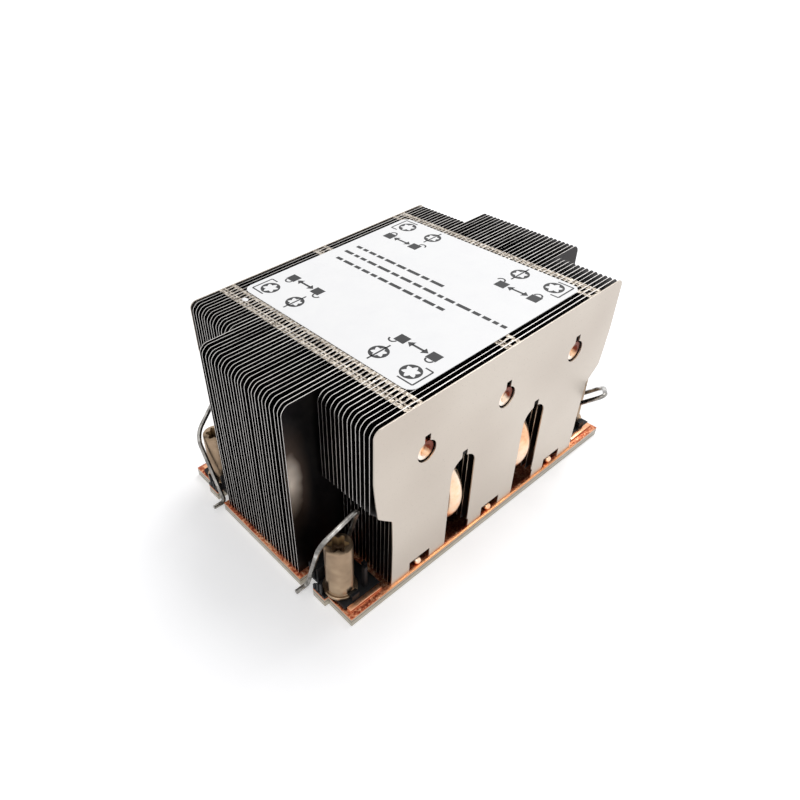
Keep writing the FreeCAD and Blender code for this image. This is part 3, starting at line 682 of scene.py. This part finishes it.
fin_faces = 0
for side, sign in SIDES:
    for number in FIN_NUMBERS:
        node = f"side_fin_{side}_{number:02d}"
        place = sign * (CENTRE_HALF + number)
        piece = fin_sheets(f"{node}_rounded", node, [place], [node], SIDE_BEND)
        fin_faces += len(piece.data.polygons)
for number in FIN_NUMBERS:
    node = f"centre_fins_{number:02d}"
    first = -CENTRE_HALF + 2 * (number - 1)
    indices = [index for index in (first, first + 1) if index <= CENTRE_HALF]
    piece = fin_sheets(f"{node}_rounded", node, indices, [node], CENTRE_BEND)
    fin_faces += len(piece.data.polygons)
print("fin faces:", fin_faces)

# %% [markdown]
# ## End plates
#
# The end plates carry the openings where the pipes show. The CAD draws their arches
# with a few straight steps. Bevelling only the shallow corners of those steps turns
# them into smooth curves and leaves the sharp corners of the plate as they are.

# %% Smooth the end plates
PLATE_INDEX = 26
PLATE_CORNER = 2.2 * MM
PLATE_CORNER_SEGMENTS = 6
SQUARE_TURN = 1.3
STEP_TURN = (math.radians(7), math.radians(40))
STEP_SHARES = (40, 35)


def smooth_arches(bm):
    """Bevel the shallow corners of an arch drawn in steps."""
    for share in STEP_SHARES:
        corners = [
            edge
            for edge in bm.edges
            if runs_along(edge, 1) and STEP_TURN[0] < edge.calc_face_angle(0) < STEP_TURN[1]
        ]
        bevel_edges(bm, corners, share, 1, "PERCENT")


def round_top_corners(bm):
    """Bevel the two square corners of a plate's top edge."""
    corners = [
        edge
        for edge in bm.edges
        if runs_along(edge, 1)
        and edge.verts[0].co.z > FIN_TOP - 0.1 * MM
        and edge.calc_face_angle(0) > SQUARE_TURN
    ]
    bevel_edges(bm, corners, PLATE_CORNER, PLATE_CORNER_SEGMENTS)


for side, sign in SIDES:
    node = f"end_plate_{side}"
    plate = merged_copy(node)
    middle = sign * PLATE_INDEX * PITCH
    keep_slab(plate, middle - HALF_SHEET, middle + HALF_SHEET)
    smooth_arches(plate)
    round_top_corners(plate)
    piece = finish_piece(f"{node}_smooth", plate, "heatsink", PLATED, [node])
    tell(piece)

# %% [markdown]
# ## Folded tabs
#
# Along the top each fin folds tabs over to its neighbour. Together they look like a
# light strip with two rows of dark marks. One tab is a flat grid whose cells are
# removed where the real sheet is pierced, with the holes a little slanted. Solidify
# operators give it thickness, and copies of it fill the row. A tab repeats over a
# hundred times, so it stays at a few dozen faces.

# %% Fold the tabs
TAB_THICK = 0.3 * MM
COLUMNS = (-2.75, -1.5, -1.1, -0.6, 1.6, 2.75)
ROWS = (0.0, 0.26, 0.96, 1.10)
OPEN_CELLS = ((1, 1), (3, 1))
SLANTS = (0.0, 0.0, 0.1, -0.15, 0.1, 0.0)
INNER_ROWS = (1, 2)
FRONT_NICK = 0.35
TAB_SAG = 0.05
TAB_CENTRE = 35.4 * MM
LABEL_SIDE = 34.2 * MM


def add_tab(bm, centre, start, mirror):
    """One tab from a fin to the next: a small grid with two of its cells pierced."""
    across, along = len(COLUMNS) - 1, len(ROWS) - 1
    grid = bmesh.ops.create_grid(bm, x_segments=across, y_segments=along, size=0.5)["verts"]
    pierced = []
    for face in dict.fromkeys(face for vert in grid for face in vert.link_faces):
        middle = face.calc_center_median()
        if (int((middle.x + 0.5) * across), int((middle.y + 0.5) * along)) in OPEN_CELLS:
            pierced.append(face)
    for vert in grid:
        i, j = round((vert.co.x + 0.5) * across), round((vert.co.y + 0.5) * along)
        inner = j in INNER_ROWS
        nick = FRONT_NICK if i == 0 and not inner else 0.0
        slant = SLANTS[i] if inner else 0.0
        vert.co.x = centre + mirror * (COLUMNS[i] + nick) * MM
        vert.co.y = start + ROWS[j] * PITCH / ROWS[-1] + slant * MM
        vert.co.z = FIN_TOP
    bmesh.ops.delete(bm, geom=pierced, context="FACES")


def tab_row(name, centre, mirror, places):
    """A row of tabs, one for each listed fin index."""
    bm = bmesh.new()
    for index in places:
        add_tab(bm, centre, index * PITCH + HALF_SHEET, mirror)
    for vert in bm.verts:
        vert.co.z += random.uniform(-TAB_SAG, 0.0) * MM
    bmesh.ops.recalc_face_normals(bm, faces=bm.faces)
    if sum(face.normal.z for face in bm.faces) < 0:
        bmesh.ops.reverse_faces(bm, faces=bm.faces)
    bmesh.ops.solidify(bm, geom=bm.faces, thickness=TAB_THICK)
    top = max(vert.co.z for vert in bm.verts)
    bmesh.ops.translate(bm, verts=bm.verts, vec=(0, 0, FIN_TOP - top))
    return finish_piece(name, bm, "heatsink", TAB)


ALL_GAPS = range(-PLATE_INDEX, PLATE_INDEX)
BESIDE_LABEL = [index for index in ALL_GAPS if abs(index * PITCH + PITCH / 2) > LABEL_SIDE]
for name, centre, mirror, places in (
    ("tab_row_front", -TAB_CENTRE, 1, ALL_GAPS),
    ("tab_row_rear", TAB_CENTRE, -1, ALL_GAPS),
    ("tab_row_middle", 0.0, 1, BESIDE_LABEL),
):
    piece = tab_row(name, centre, mirror, places)
    tell(piece)

# %% [markdown]
# ## Heat pipes
#
# A heat pipe is a copper tube bent back over itself. A circle pulled straight, spun
# through half a turn and pulled straight again is exactly how the real one is bent.
# The lower leg is then pressed flat, and its sealed end is drawn down to a tip. The
# upper end is closed by a shallow dimple, which is what shows through the keyholes.

# %% Bend the heat pipes
PIPE_PITCH = PIPE_PITCH_MM * MM
PIPE_R = 3.0 * MM
BASE_TOP = 3.2 * MM
STACK_OUTSIDE = PLATE_INDEX * PITCH + HALF_SHEET
OPEN_END = STACK_OUTSIDE - 0.9 * MM
FLAT_HALF = (3.55 * MM, 2.0 * MM)
PRESS_LENGTH = 18.5 * MM
TIP_R = 1.15 * MM
TIP_DROP = -0.75 * MM
TIP_START, TIP_STEP = 4.5 * MM, 2.3 * MM
TIP_ROUNDING = ((0.45, 0.9), (0.35, 0.75), (0.2, 0.5))
CAP_STEPS = ((-0.35, 0.93), (0.0, 0.62), (0.9, 0.55))
PIPE_SIDES, BEND_STEPS = 40, 24


def pull(bm, edges, shift, scale=(1, 1, 1)):
    """Extrude a ring of edges, move it and scale it about its own centre."""
    made = bmesh.ops.extrude_edge_only(bm, edges=edges)["geom"]
    verts = [item for item in made if isinstance(item, bmesh.types.BMVert)]
    bmesh.ops.translate(bm, verts=verts, vec=shift)
    centre = sum((vert.co for vert in verts), Vector()) / len(verts)
    bmesh.ops.scale(bm, verts=verts, vec=scale, space=Matrix.Translation(-centre))
    return [item for item in made if isinstance(item, bmesh.types.BMEdge)]


def heat_pipe(number, index, height, side):
    """A pipe at one place along X that bends at the left (side 1) or right (side -1)."""
    bm = bmesh.new()
    floor = BASE_TOP + PIPE_R
    bend = (height - floor) / 2
    bend_start = STACK_OUTSIDE - PIPE_R - bend
    bmesh.ops.create_circle(bm, segments=PIPE_SIDES, radius=PIPE_R)
    bmesh.ops.rotate(bm, verts=bm.verts, matrix=Matrix.Rotation(math.radians(90), 3, "X"))
    bmesh.ops.translate(bm, verts=bm.verts, vec=(0, -OPEN_END, height))
    first = bm.edges[:]
    ring = pull(bm, first, (0, OPEN_END + bend_start, 0))
    spun = bmesh.ops.spin(
        bm,
        geom=ring,
        cent=(0, bend_start, floor + bend),
        axis=(1, 0, 0),
        angle=-math.pi,
        steps=BEND_STEPS,
        use_merge=False,
        use_duplicate=False,
    )["geom_last"]
    ring = [item for item in spun if isinstance(item, bmesh.types.BMEdge)]
    squeeze = (FLAT_HALF[0] / PIPE_R, 1, FLAT_HALF[1] / PIPE_R)
    drop = FLAT_HALF[1] - PIPE_R
    flat_start = max(0, bend_start - PRESS_LENGTH)
    ring = pull(bm, ring, (0, -flat_start, drop), squeeze)
    tip_start = OPEN_END - TIP_START
    ring = pull(bm, ring, (0, -(bend_start - flat_start) - tip_start, 0))
    narrow = (TIP_R / FLAT_HALF[0], 1, TIP_R / FLAT_HALF[1])
    ring = pull(bm, ring, (0, -TIP_STEP, TIP_DROP), narrow)
    ring = pull(bm, ring, (0, -TIP_STEP, 0))
    for step, shrink in TIP_ROUNDING:
        ring = pull(bm, ring, (0, -step * MM, 0), (shrink, 1, shrink))
    bmesh.ops.edgeloop_fill(bm, edges=ring)
    ring = first
    for step, shrink in CAP_STEPS:
        ring = pull(bm, ring, (0, step * MM, 0), (shrink, 1, shrink))
    bmesh.ops.edgeloop_fill(bm, edges=ring)
    if side < 0:
        bmesh.ops.scale(bm, verts=bm.verts, vec=(1, -1, 1))
    bmesh.ops.translate(bm, verts=bm.verts, vec=(index * PIPE_PITCH, 0, 0))
    return finish_piece(
        f"heat_pipe_{number}_smooth",
        bm,
        "heatsink",
        COPPER,
        [f"heat_pipe_{number}"],
        smooth_angle=math.radians(40),
    )


for number, index in enumerate(range(-2, 3), start=1):
    tall = index % 2 == 0
    height, side = (HIGH_PIPE_MM, 1) if tall else (LOW_PIPE_MM, -1)
    piece = heat_pipe(number, index, height * MM, side)
    tell(piece)

# %% [markdown]
# ## Base
#
# The base is milled copper. A copy of the CAD solid keeps its outline, and a small
# bevel breaks its outer edges so that they catch the light, as real deburred edges
# do.

# %% Break the base's edges
SHARP_TURN = math.radians(35)
SOFT_SEGMENTS = 2
BASE_BEVEL, CLIP_BEVEL = 0.15 * MM, 0.18 * MM


def soften(node, name, material, width):
    """A copy of a CAD solid whose sharp edges are broken by a small bevel."""
    bm = merged_copy(node)
    edges = [edge for edge in bm.edges if edge.calc_face_angle(0) > SHARP_TURN]
    bevel_edges(bm, edges, width, SOFT_SEGMENTS)
    return finish_piece(
        name, bm, "heatsink", material, [node], smooth_angle=math.radians(50)
    )


piece = soften("base_plate", "base_plate_softened", BASE, BASE_BEVEL)
tell(piece)

# %% [markdown]
# ## Clips
#
# Each clip is a moulded nylon part, and moulded edges are never sharp. The same
# copy-and-bevel step rounds them.

# %% Round the clips
CORNERS = {
    "front_right": (-1, -1),
    "front_left": (-1, 1),
    "rear_right": (1, -1),
    "rear_left": (1, 1),
}
for corner in CORNERS:
    node = f"clip_{corner}"
    piece = soften(node, f"{node}_rounded", NYLON, CLIP_BEVEL)
    tell(piece)

# %% [markdown]
# ## Guards on the clips
#
# A clip also has a ribbed guard that stands on the base's tab, a hook over the
# nut's flange and a tall post. The guard's top slopes, so that the wire can swing
# down over it. All of them are boxes, whose tops may rise along Y.

# %% Add the guards
GUARD_FOOT, GUARD_FLOOR_TOP = 3.2, 4.2
GUARD_INNER, GUARD_OUTER = 24.45, 29.45
WALL_OUTER = 28.4
GUARD_TOP = (5.2, 8.9)
GUARD_BACK, GUARD_FACE = 57.6, 58.25
FOOT_BACK, RIB_RELIEF = 56.0, 0.3
RIB_COUNT, RIB_SHARE = 3, 0.6
GUARD_BEVEL = 0.1 * MM
HOOK_AND_POST = (
    ((50.8, 53.4), (34.65, 35.6), GUARD_FLOOR_TOP, (6.4, 6.4)),
    ((50.8, 53.4), (33.75, 34.9), 5.5, (6.2, 6.7)),
    ((46.6, 47.7), (33.1, 34.3), GUARD_FLOOR_TOP, (12.4, 12.4)),
)


def sloped_box(bm, corner, x_range, y_range, bottom, tops):
    """A softened box in millimetres at one corner, whose top slopes between two heights."""
    along, across = CORNERS[corner]
    box = bmesh.ops.create_cube(bm, size=1.0)["verts"]
    for vert in box:
        share = vert.co + Vector((0.5, 0.5, 0.5))
        x = x_range[0] + share.x * (x_range[1] - x_range[0])
        y = y_range[0] + share.y * (y_range[1] - y_range[0])
        top = tops[0] + share.y * (tops[1] - tops[0])
        vert.co = Vector((along * x, across * y, bottom + share.z * (top - bottom))) * MM
    faces = list(dict.fromkeys(face for vert in box for face in vert.link_faces))
    bmesh.ops.recalc_face_normals(bm, faces=faces)
    edges = list(dict.fromkeys(edge for vert in box for edge in vert.link_edges))
    bevel_edges(bm, edges, GUARD_BEVEL, SOFT_SEGMENTS)


def clip_guard(corner):
    """The ribbed guard, the hook over the flange and the tall post of one clip."""
    bm = bmesh.new()
    width = WALL_OUTER - GUARD_INNER
    rise = (GUARD_TOP[1] - GUARD_TOP[0]) / width
    floor = (GUARD_FLOOR_TOP, GUARD_FLOOR_TOP)
    foot, wall = (FOOT_BACK, GUARD_FACE), (GUARD_BACK, GUARD_FACE - RIB_RELIEF)
    sloped_box(bm, corner, foot, (GUARD_INNER, GUARD_OUTER), GUARD_FOOT, floor)
    sloped_box(bm, corner, wall, (GUARD_INNER, WALL_OUTER), GUARD_FOOT, GUARD_TOP)
    rib_pitch = width / (RIB_COUNT - 1 + RIB_SHARE)
    for rib in range(RIB_COUNT):
        start = GUARD_INNER + rib * rib_pitch
        end = start + RIB_SHARE * rib_pitch
        tops = [GUARD_TOP[0] + rise * (place - GUARD_INNER) for place in (start, end)]
        sloped_box(bm, corner, (GUARD_BACK, GUARD_FACE), (start, end), GUARD_FOOT, tops)
    for box in HOOK_AND_POST:
        sloped_box(bm, corner, *box)
    return finish_piece(f"clip_{corner}_guard", bm, "heatsink", NYLON)


for corner in CORNERS:
    piece = clip_guard(corner)
    tell(piece)

# %% [markdown]
# ## Nuts
#
# A nut like this is turned on a lathe, and spinning a profile about an axis is the
# same idea. The six-lobe socket is different: a circle is pushed in and out by six
# waves and extruded down.

# %% Turn the nuts
NUT_PLACE = [value * MM for value in NUT_CENTRE_MM]
NUT_PROFILE = (
    (3.2, 0.4), (3.2, 4.3), (4.75, 4.3), (4.9, 4.45), (4.9, 5.1), (4.75, 5.25), (4.15, 5.25),
    (3.95, 5.6), (3.95, 22.1), (3.85, 22.35), (3.6, 22.5),
)
NUT_SEGMENTS = 72
SOCKET_MEAN, SOCKET_WAVE = 2.5 * MM, 0.5 * MM
SOCKET_STEPS = ((-0.25, 0.95), (-3.2, 1), (-0.2, 0.62), (0.3, 0.9), (-0.9, 0.8))
NUT_TURN = 0.3
BORE_RADIUS, BORE_DEPTH = 2.0 * MM, 12.0 * MM


def nut(corner):
    """A captive nut: lathe profile, six-lobe socket above and plain bore below."""
    bm = bmesh.new()
    bmesh.ops.create_circle(bm, segments=NUT_SEGMENTS, radius=NUT_PROFILE[0][0] * MM)
    bmesh.ops.translate(bm, verts=bm.verts, vec=(0, 0, NUT_PROFILE[0][1] * MM))
    bottom = bm.edges[:]
    ring = bottom
    for (radius, height), (wider, higher) in zip(NUT_PROFILE, NUT_PROFILE[1:]):
        grow = wider / radius
        ring = pull(bm, ring, (0, 0, (higher - height) * MM), (grow, grow, 1))
    star = pull(bm, ring, (0, 0, 0))
    for vert in dict.fromkeys(vert for edge in star for vert in edge.verts):
        angle = math.atan2(vert.co.y, vert.co.x)
        reach = SOCKET_MEAN + SOCKET_WAVE * math.cos(6 * angle)
        vert.co.x, vert.co.y = reach * math.cos(angle), reach * math.sin(angle)
    for step, shrink in SOCKET_STEPS:
        star = pull(bm, star, (0, 0, step * MM), (shrink, shrink, 1))
    bmesh.ops.edgeloop_fill(bm, edges=star)
    shrink = BORE_RADIUS / (NUT_PROFILE[0][0] * MM)
    bore = pull(bm, bottom, (0, 0, 0), (shrink, shrink, 1))
    bore = pull(bm, bore, (0, 0, BORE_DEPTH))
    bmesh.ops.edgeloop_fill(bm, edges=bore)
    along, across = CORNERS[corner]
    bmesh.ops.rotate(bm, verts=bm.verts, matrix=Matrix.Rotation(NUT_TURN + along, 3, "Z"))
    bmesh.ops.translate(bm, verts=bm.verts, vec=(along * NUT_PLACE[0], across * NUT_PLACE[1], 0))
    return finish_piece(
        f"nut_{corner}_turned",
        bm,
        f"nut_{corner}",
        NUT,
        [f"nut_{corner}"],
        smooth_angle=math.radians(35),
    )


for corner in CORNERS:
    piece = nut(corner)
    tell(piece)

# %% [markdown]
# ## Wire bails
#
# A bail is one piece of spring wire bent in a few places. A curve with a round
# bevel is made the same way: a line with rounded corners, and a thickness. The
# curve is turned into a mesh at the end, so that its place is in its vertices.

# %% Bend the wire bails
AXIS_ACROSS, AXIS_HEIGHT = 22.2, 4.3
WIRE_RADIUS = 0.7
HANDLE_SHARE = 0.55
BAIL_LEAN = {"front_right": 17, "front_left": 26, "rear_right": 45, "rear_left": 45}
BAIL = (
    ((62.0, 1.6), 0.0),
    ((57.9, 1.6), 1.2),
    ((57.9, 25.5), 7.0),
    ((46.2, 34.5), 1.6),
    ((46.2, 4.3), 1.2),
    ((43.1, 4.3), 0.0),
)


def bail_curve(points):
    """A Bezier line that runs straight between corners and rounds each one."""
    curve = bpy.data.curves.new("bail_line", "CURVE")
    curve.dimensions = "3D"
    curve.resolution_u = 6
    curve.bevel_depth = WIRE_RADIUS * MM
    curve.bevel_resolution = 4
    curve.use_fill_caps = True
    stations = []
    for i, (corner, radius) in enumerate(points):
        if radius == 0:
            stations.append((corner, None, None))
            continue
        before, after = points[i - 1][0], points[i + 1][0]
        back = (before - corner).normalized()
        ahead = (after - corner).normalized()
        turn = math.pi - back.angle(ahead)
        reach = radius * MM * math.tan(turn / 2)
        handle = HANDLE_SHARE * reach
        start, end = corner + back * reach, corner + ahead * reach
        stations.append((start, None, start - back * handle))
        stations.append((end, end - ahead * handle, None))
    spline = curve.splines.new("BEZIER")
    spline.bezier_points.add(len(stations) - 1)
    for i, (point, (place, left, right)) in enumerate(zip(spline.bezier_points, stations)):
        before = stations[max(i - 1, 0)][0]
        after = stations[min(i + 1, len(stations) - 1)][0]
        point.co = place
        point.handle_left_type = point.handle_right_type = "FREE"
        point.handle_left = left if left is not None else place + (before - place) / 3
        point.handle_right = right if right is not None else place + (after - place) / 3
    return curve


def bail(corner):
    """One wire, leaning outwards by its corner's rest angle."""
    along, across = CORNERS[corner]
    lean = Matrix.Rotation(math.radians(-across * BAIL_LEAN[corner]), 3, "X")
    pivot = Vector((0, across * AXIS_ACROSS, AXIS_HEIGHT)) * MM
    points = []
    for (x, z), radius in BAIL:
        place = Vector((along * x, across * AXIS_ACROSS, z)) * MM
        points.append((pivot + lean @ (place - pivot), radius))
    carrier = bpy.data.objects.new("bail_carrier", bail_curve(points))
    bm = bmesh.new()
    bm.from_mesh(bpy.data.meshes.new_from_object(carrier))
    bpy.data.objects.remove(carrier)
    bmesh.ops.remove_doubles(bm, verts=bm.verts, dist=0.005 * MM)
    return finish_piece(
        f"wire_{corner}_bent",
        bm,
        f"wire_{corner}",
        WIRE,
        [f"wire_{corner}"],
        smooth_angle=math.radians(45),
    )


for corner in CORNERS:
    piece = bail(corner)
    tell(piece)

# %% [markdown]
# ## Label print
#
# The label is a copy of the CAD's thin sheet, whose rear edge reaches over the rear
# tabs. Its print is made of simple signs: round marks for the nuts, two-ended arrows
# and small bars. Each sign is a flat shape that lies on the film, so its outline
# stays crisp at any distance.

# %% Print the label
LABEL_TOP = 64.15 * MM
INK_THICK = 0.02 * MM
REAR_EDGE_SHIFT = 2.5 * MM
SIGN_SHIFT = 1.7
FRAMED_MARK, SLOT_MARK = (28.3, 28.3), (28.1, 17.0)
FRAME_HALF, FRAME_OUT, FRAME_LEGS = 3.6, 3.9, (5.0, 2.5)
ARROW_PLACE, ARROW_HALF, ARROW_HEAD = (19.8, 22.5), 3.5, 1.7
BLOCKS = ((28.0, 0.0), (17.0, -1.6))
BLOCK_HALF, SHACKLE = 1.6, 1.15
LINE, RING_SEGMENTS = 0.45, 36
TEXT_ROWS = ((9.1, 30.0, -7.0), (4.5, 30.5, -32.0), (-0.3, 29.0, -15.0))
DASHES, DASH_GAP, DASH_WIDTH, LAST_DASH = (1.6, 5.0), 0.9, 1.25, 1.5
GLUE_PLACE, GLUE_SHAPE = (-35.6, 28.3), (0.8, 1.15, 0.14)


def zigzag(angle):
    """A wave of straight lines between 1 and -1, which draws the points of a star."""
    return 1 - 2 * math.acos(math.cos(angle)) / math.pi


def disc(bm, centre, outer, inner, star):
    """A flat ring whose opening is a star with six points."""
    rim, hole = (
        bmesh.ops.create_circle(bm, segments=RING_SEGMENTS, radius=radius * MM)["verts"]
        for radius in (outer, inner)
    )
    for vert in hole:
        vert.co *= 1 + star * zigzag(6 * math.atan2(vert.co.y, vert.co.x))
    edges = list(dict.fromkeys(edge for vert in rim + hole for edge in vert.link_edges))
    bmesh.ops.bridge_loops(bm, edges=edges)
    bmesh.ops.translate(bm, verts=rim + hole, vec=(centre[0] * MM, centre[1] * MM, 0))


def arc(bm, centre, radius, start, sweep):
    """A thin arc: a short stroke spun about a centre."""
    middle = Vector((*centre, 0)) * MM
    reach = Vector((math.cos(start), math.sin(start), 0)) * MM
    ends = [bm.verts.new(middle + reach * (radius + side * 0.25)) for side in (-1, 1)]
    stroke = bm.edges.new(ends)
    bmesh.ops.spin(
        bm,
        geom=[*ends, stroke],
        cent=middle,
        axis=(0, 0, 1),
        angle=sweep,
        steps=8,
        use_merge=False,
        use_duplicate=False,
    )


def bar(bm, start, end, width, end_width=None):
    """A straight stroke between two places, which may taper."""
    a, b = Vector((*start, 0)) * MM, Vector((*end, 0)) * MM
    side = Vector((a.y - b.y, b.x - a.x, 0)).normalized() * MM / 2
    tail = width if end_width is None else end_width
    corners = (a - side * width, b - side * tail, b + side * tail, a + side * width)
    bm.faces.new([bm.verts.new(corner) for corner in corners])


def arrow(bm, centre, half):
    """A two-ended arrow along Y."""
    x, y = centre
    shaft = half - ARROW_HEAD + 0.2
    bar(bm, (x, y - shaft), (x, y + shaft), 0.7)
    for sign in (-1, 1):
        bar(bm, (x, y + sign * (half - ARROW_HEAD)), (x, y + sign * half), 2.6, 0.02)


def sign_group(bm, along, across):
    """The signs for one corner: a framed nut mark, an arrow between two blocks, a slot mark."""
    x, y = SIGN_SHIFT + along * FRAMED_MARK[0], across * FRAMED_MARK[1]
    disc(bm, (x, y), 2.9, 1.95, 0.26)
    top = y + across * FRAME_OUT
    bar(bm, (x - FRAME_HALF, top), (x + FRAME_HALF, top), LINE)
    for side, leg in zip((along, -along), FRAME_LEGS):
        leg_x = x + side * FRAME_HALF
        bar(bm, (leg_x, top), (leg_x, top - across * leg), LINE)
    x = SIGN_SHIFT + along * ARROW_PLACE[0]
    arrow(bm, (x, across * ARROW_PLACE[1]), ARROW_HALF)
    for y, aside in BLOCKS:
        bar(bm, (x - BLOCK_HALF, across * y), (x + BLOCK_HALF, across * y), 3.4)
        hinge = (x + along * 1.7, across * (y + aside))
        arc(bm, hinge, SHACKLE, -along * math.pi / 2, math.pi)
    x, y = SIGN_SHIFT + along * SLOT_MARK[0], across * SLOT_MARK[1]
    disc(bm, (x, y), 2.75, 1.8, 0.24)
    bar(bm, (x - 4.1, y), (x + 4.1, y), 0.5)


def text_row(bm, x, start, end):
    """A row of dashes of uneven length, in place of words."""
    while start > end + LAST_DASH:
        stop = max(start - random.uniform(*DASHES), end)
        bar(bm, (x, start), (x, stop), DASH_WIDTH)
        start = stop - DASH_GAP


film = merged_copy("label")
for vert in film.verts:
    if vert.co.x > 0:
        vert.co.x += REAR_EDGE_SHIFT
piece = finish_piece("label_over_tabs", film, "heatsink", FILM, ("label",))
tell(piece)

ink = bmesh.new()
for along, across in CORNERS.values():
    sign_group(ink, along, across)
for row in TEXT_ROWS:
    text_row(ink, *row)
ink.normal_update()
bmesh.ops.translate(ink, verts=ink.verts, vec=(0, 0, LABEL_TOP + INK_THICK))
for face in ink.faces:
    if face.normal.z < 0:
        face.normal_flip()
bmesh.ops.solidify(ink, geom=ink.faces, thickness=INK_THICK)
piece = finish_piece("label_print", ink, "heatsink", INK)
tell(piece)

glue = bmesh.new()
bmesh.ops.create_icosphere(glue, subdivisions=3, radius=1.0 * MM)
bmesh.ops.scale(glue, verts=glue.verts, vec=GLUE_SHAPE)
place = (GLUE_PLACE[0] * MM, GLUE_PLACE[1] * MM, FIN_TOP)
bmesh.ops.translate(glue, verts=glue.verts, vec=place)
piece = finish_piece("glue_dot", glue, "heatsink", FILM, smooth_angle=1.0)
tell(piece)

# %% [markdown]
# ## Floor and light
#
# Product photos like this are taken on white. The floor keeps a soft shadow, while
# everything the camera sees beyond it is white because of the background's colour,
# not because of more light. Far from the lamps the floor glows a little more, so that
# it meets the white sky. Two large soft lamps and an even sky light the metal.

# %% Set the stage
FLOOR_HALF = 3.0
FLOOR_GLOW, GLOW_REACH = (0.35, 0.62), (0.25, 1.2)
SKY_STRENGTH = 0.45


def studio_floor():
    """A matt floor that shows a little brighter than it is lit, more so far away."""
    material = bpy.data.materials.new("white_studio_floor")
    material.use_nodes = True
    tree = material.node_tree
    shader = tree.nodes["Principled BSDF"]
    shader.inputs["Base Color"].default_value = hex_colour("F4F4F6")
    shader.inputs["Roughness"].default_value = 0.9
    place = add_node(tree, "ShaderNodeTexCoord").outputs["Object"]
    away = vector_calc(tree, "LENGTH", place)
    lift = to_range(tree, away, *FLOOR_GLOW, *GLOW_REACH)
    glow = add_node(
        tree,
        "ShaderNodeEmission",
        {"Strength": calc(tree, "MULTIPLY", seen_directly(tree), lift)},
        {"Color": (1, 1, 1, 1)},
    )
    both = add_node(
        tree,
        "ShaderNodeAddShader",
        {0: shader.outputs["BSDF"], 1: glow.outputs["Emission"]},
    )
    tree.links.new(both.outputs["Shader"], tree.nodes["Material Output"].inputs["Surface"])
    return material


bm = bmesh.new()
bmesh.ops.create_grid(bm, x_segments=1, y_segments=1, size=FLOOR_HALF)
floor_mesh = bpy.data.meshes.new("studio_floor")
bm.to_mesh(floor_mesh)
bm.free()
floor_mesh.materials.append(studio_floor())
floor = bpy.data.objects.new("studio_floor", floor_mesh)
bpy.context.scene.collection.objects.link(floor)

world = bpy.data.worlds.new("white_sky")
bpy.context.scene.world = world
world.use_nodes = True
sky = world.node_tree
background = sky.nodes["Background"]
background.inputs["Color"].default_value = (1, 1, 1, 1)
strength = to_range(sky, seen_directly(sky), SKY_STRENGTH, 1.0)
sky.links.new(strength, background.inputs["Strength"])


def soft_lamp(name, place, size, power):
    """A large square lamp that faces the object."""
    light = bpy.data.lights.new(name, "AREA")
    light.size = size
    light.energy = power
    lamp = bpy.data.objects.new(name, light)
    lamp.location = place
    lamp.rotation_euler = (-Vector(place)).to_track_quat("-Z", "Y").to_euler()
    bpy.context.scene.collection.objects.link(lamp)


soft_lamp("key_lamp", (0.5, 0.1, 0.9), 0.5, 5.0)
soft_lamp("fill_lamp", (-0.6, -0.3, 0.6), 0.5, 1.2)
print("stage set")
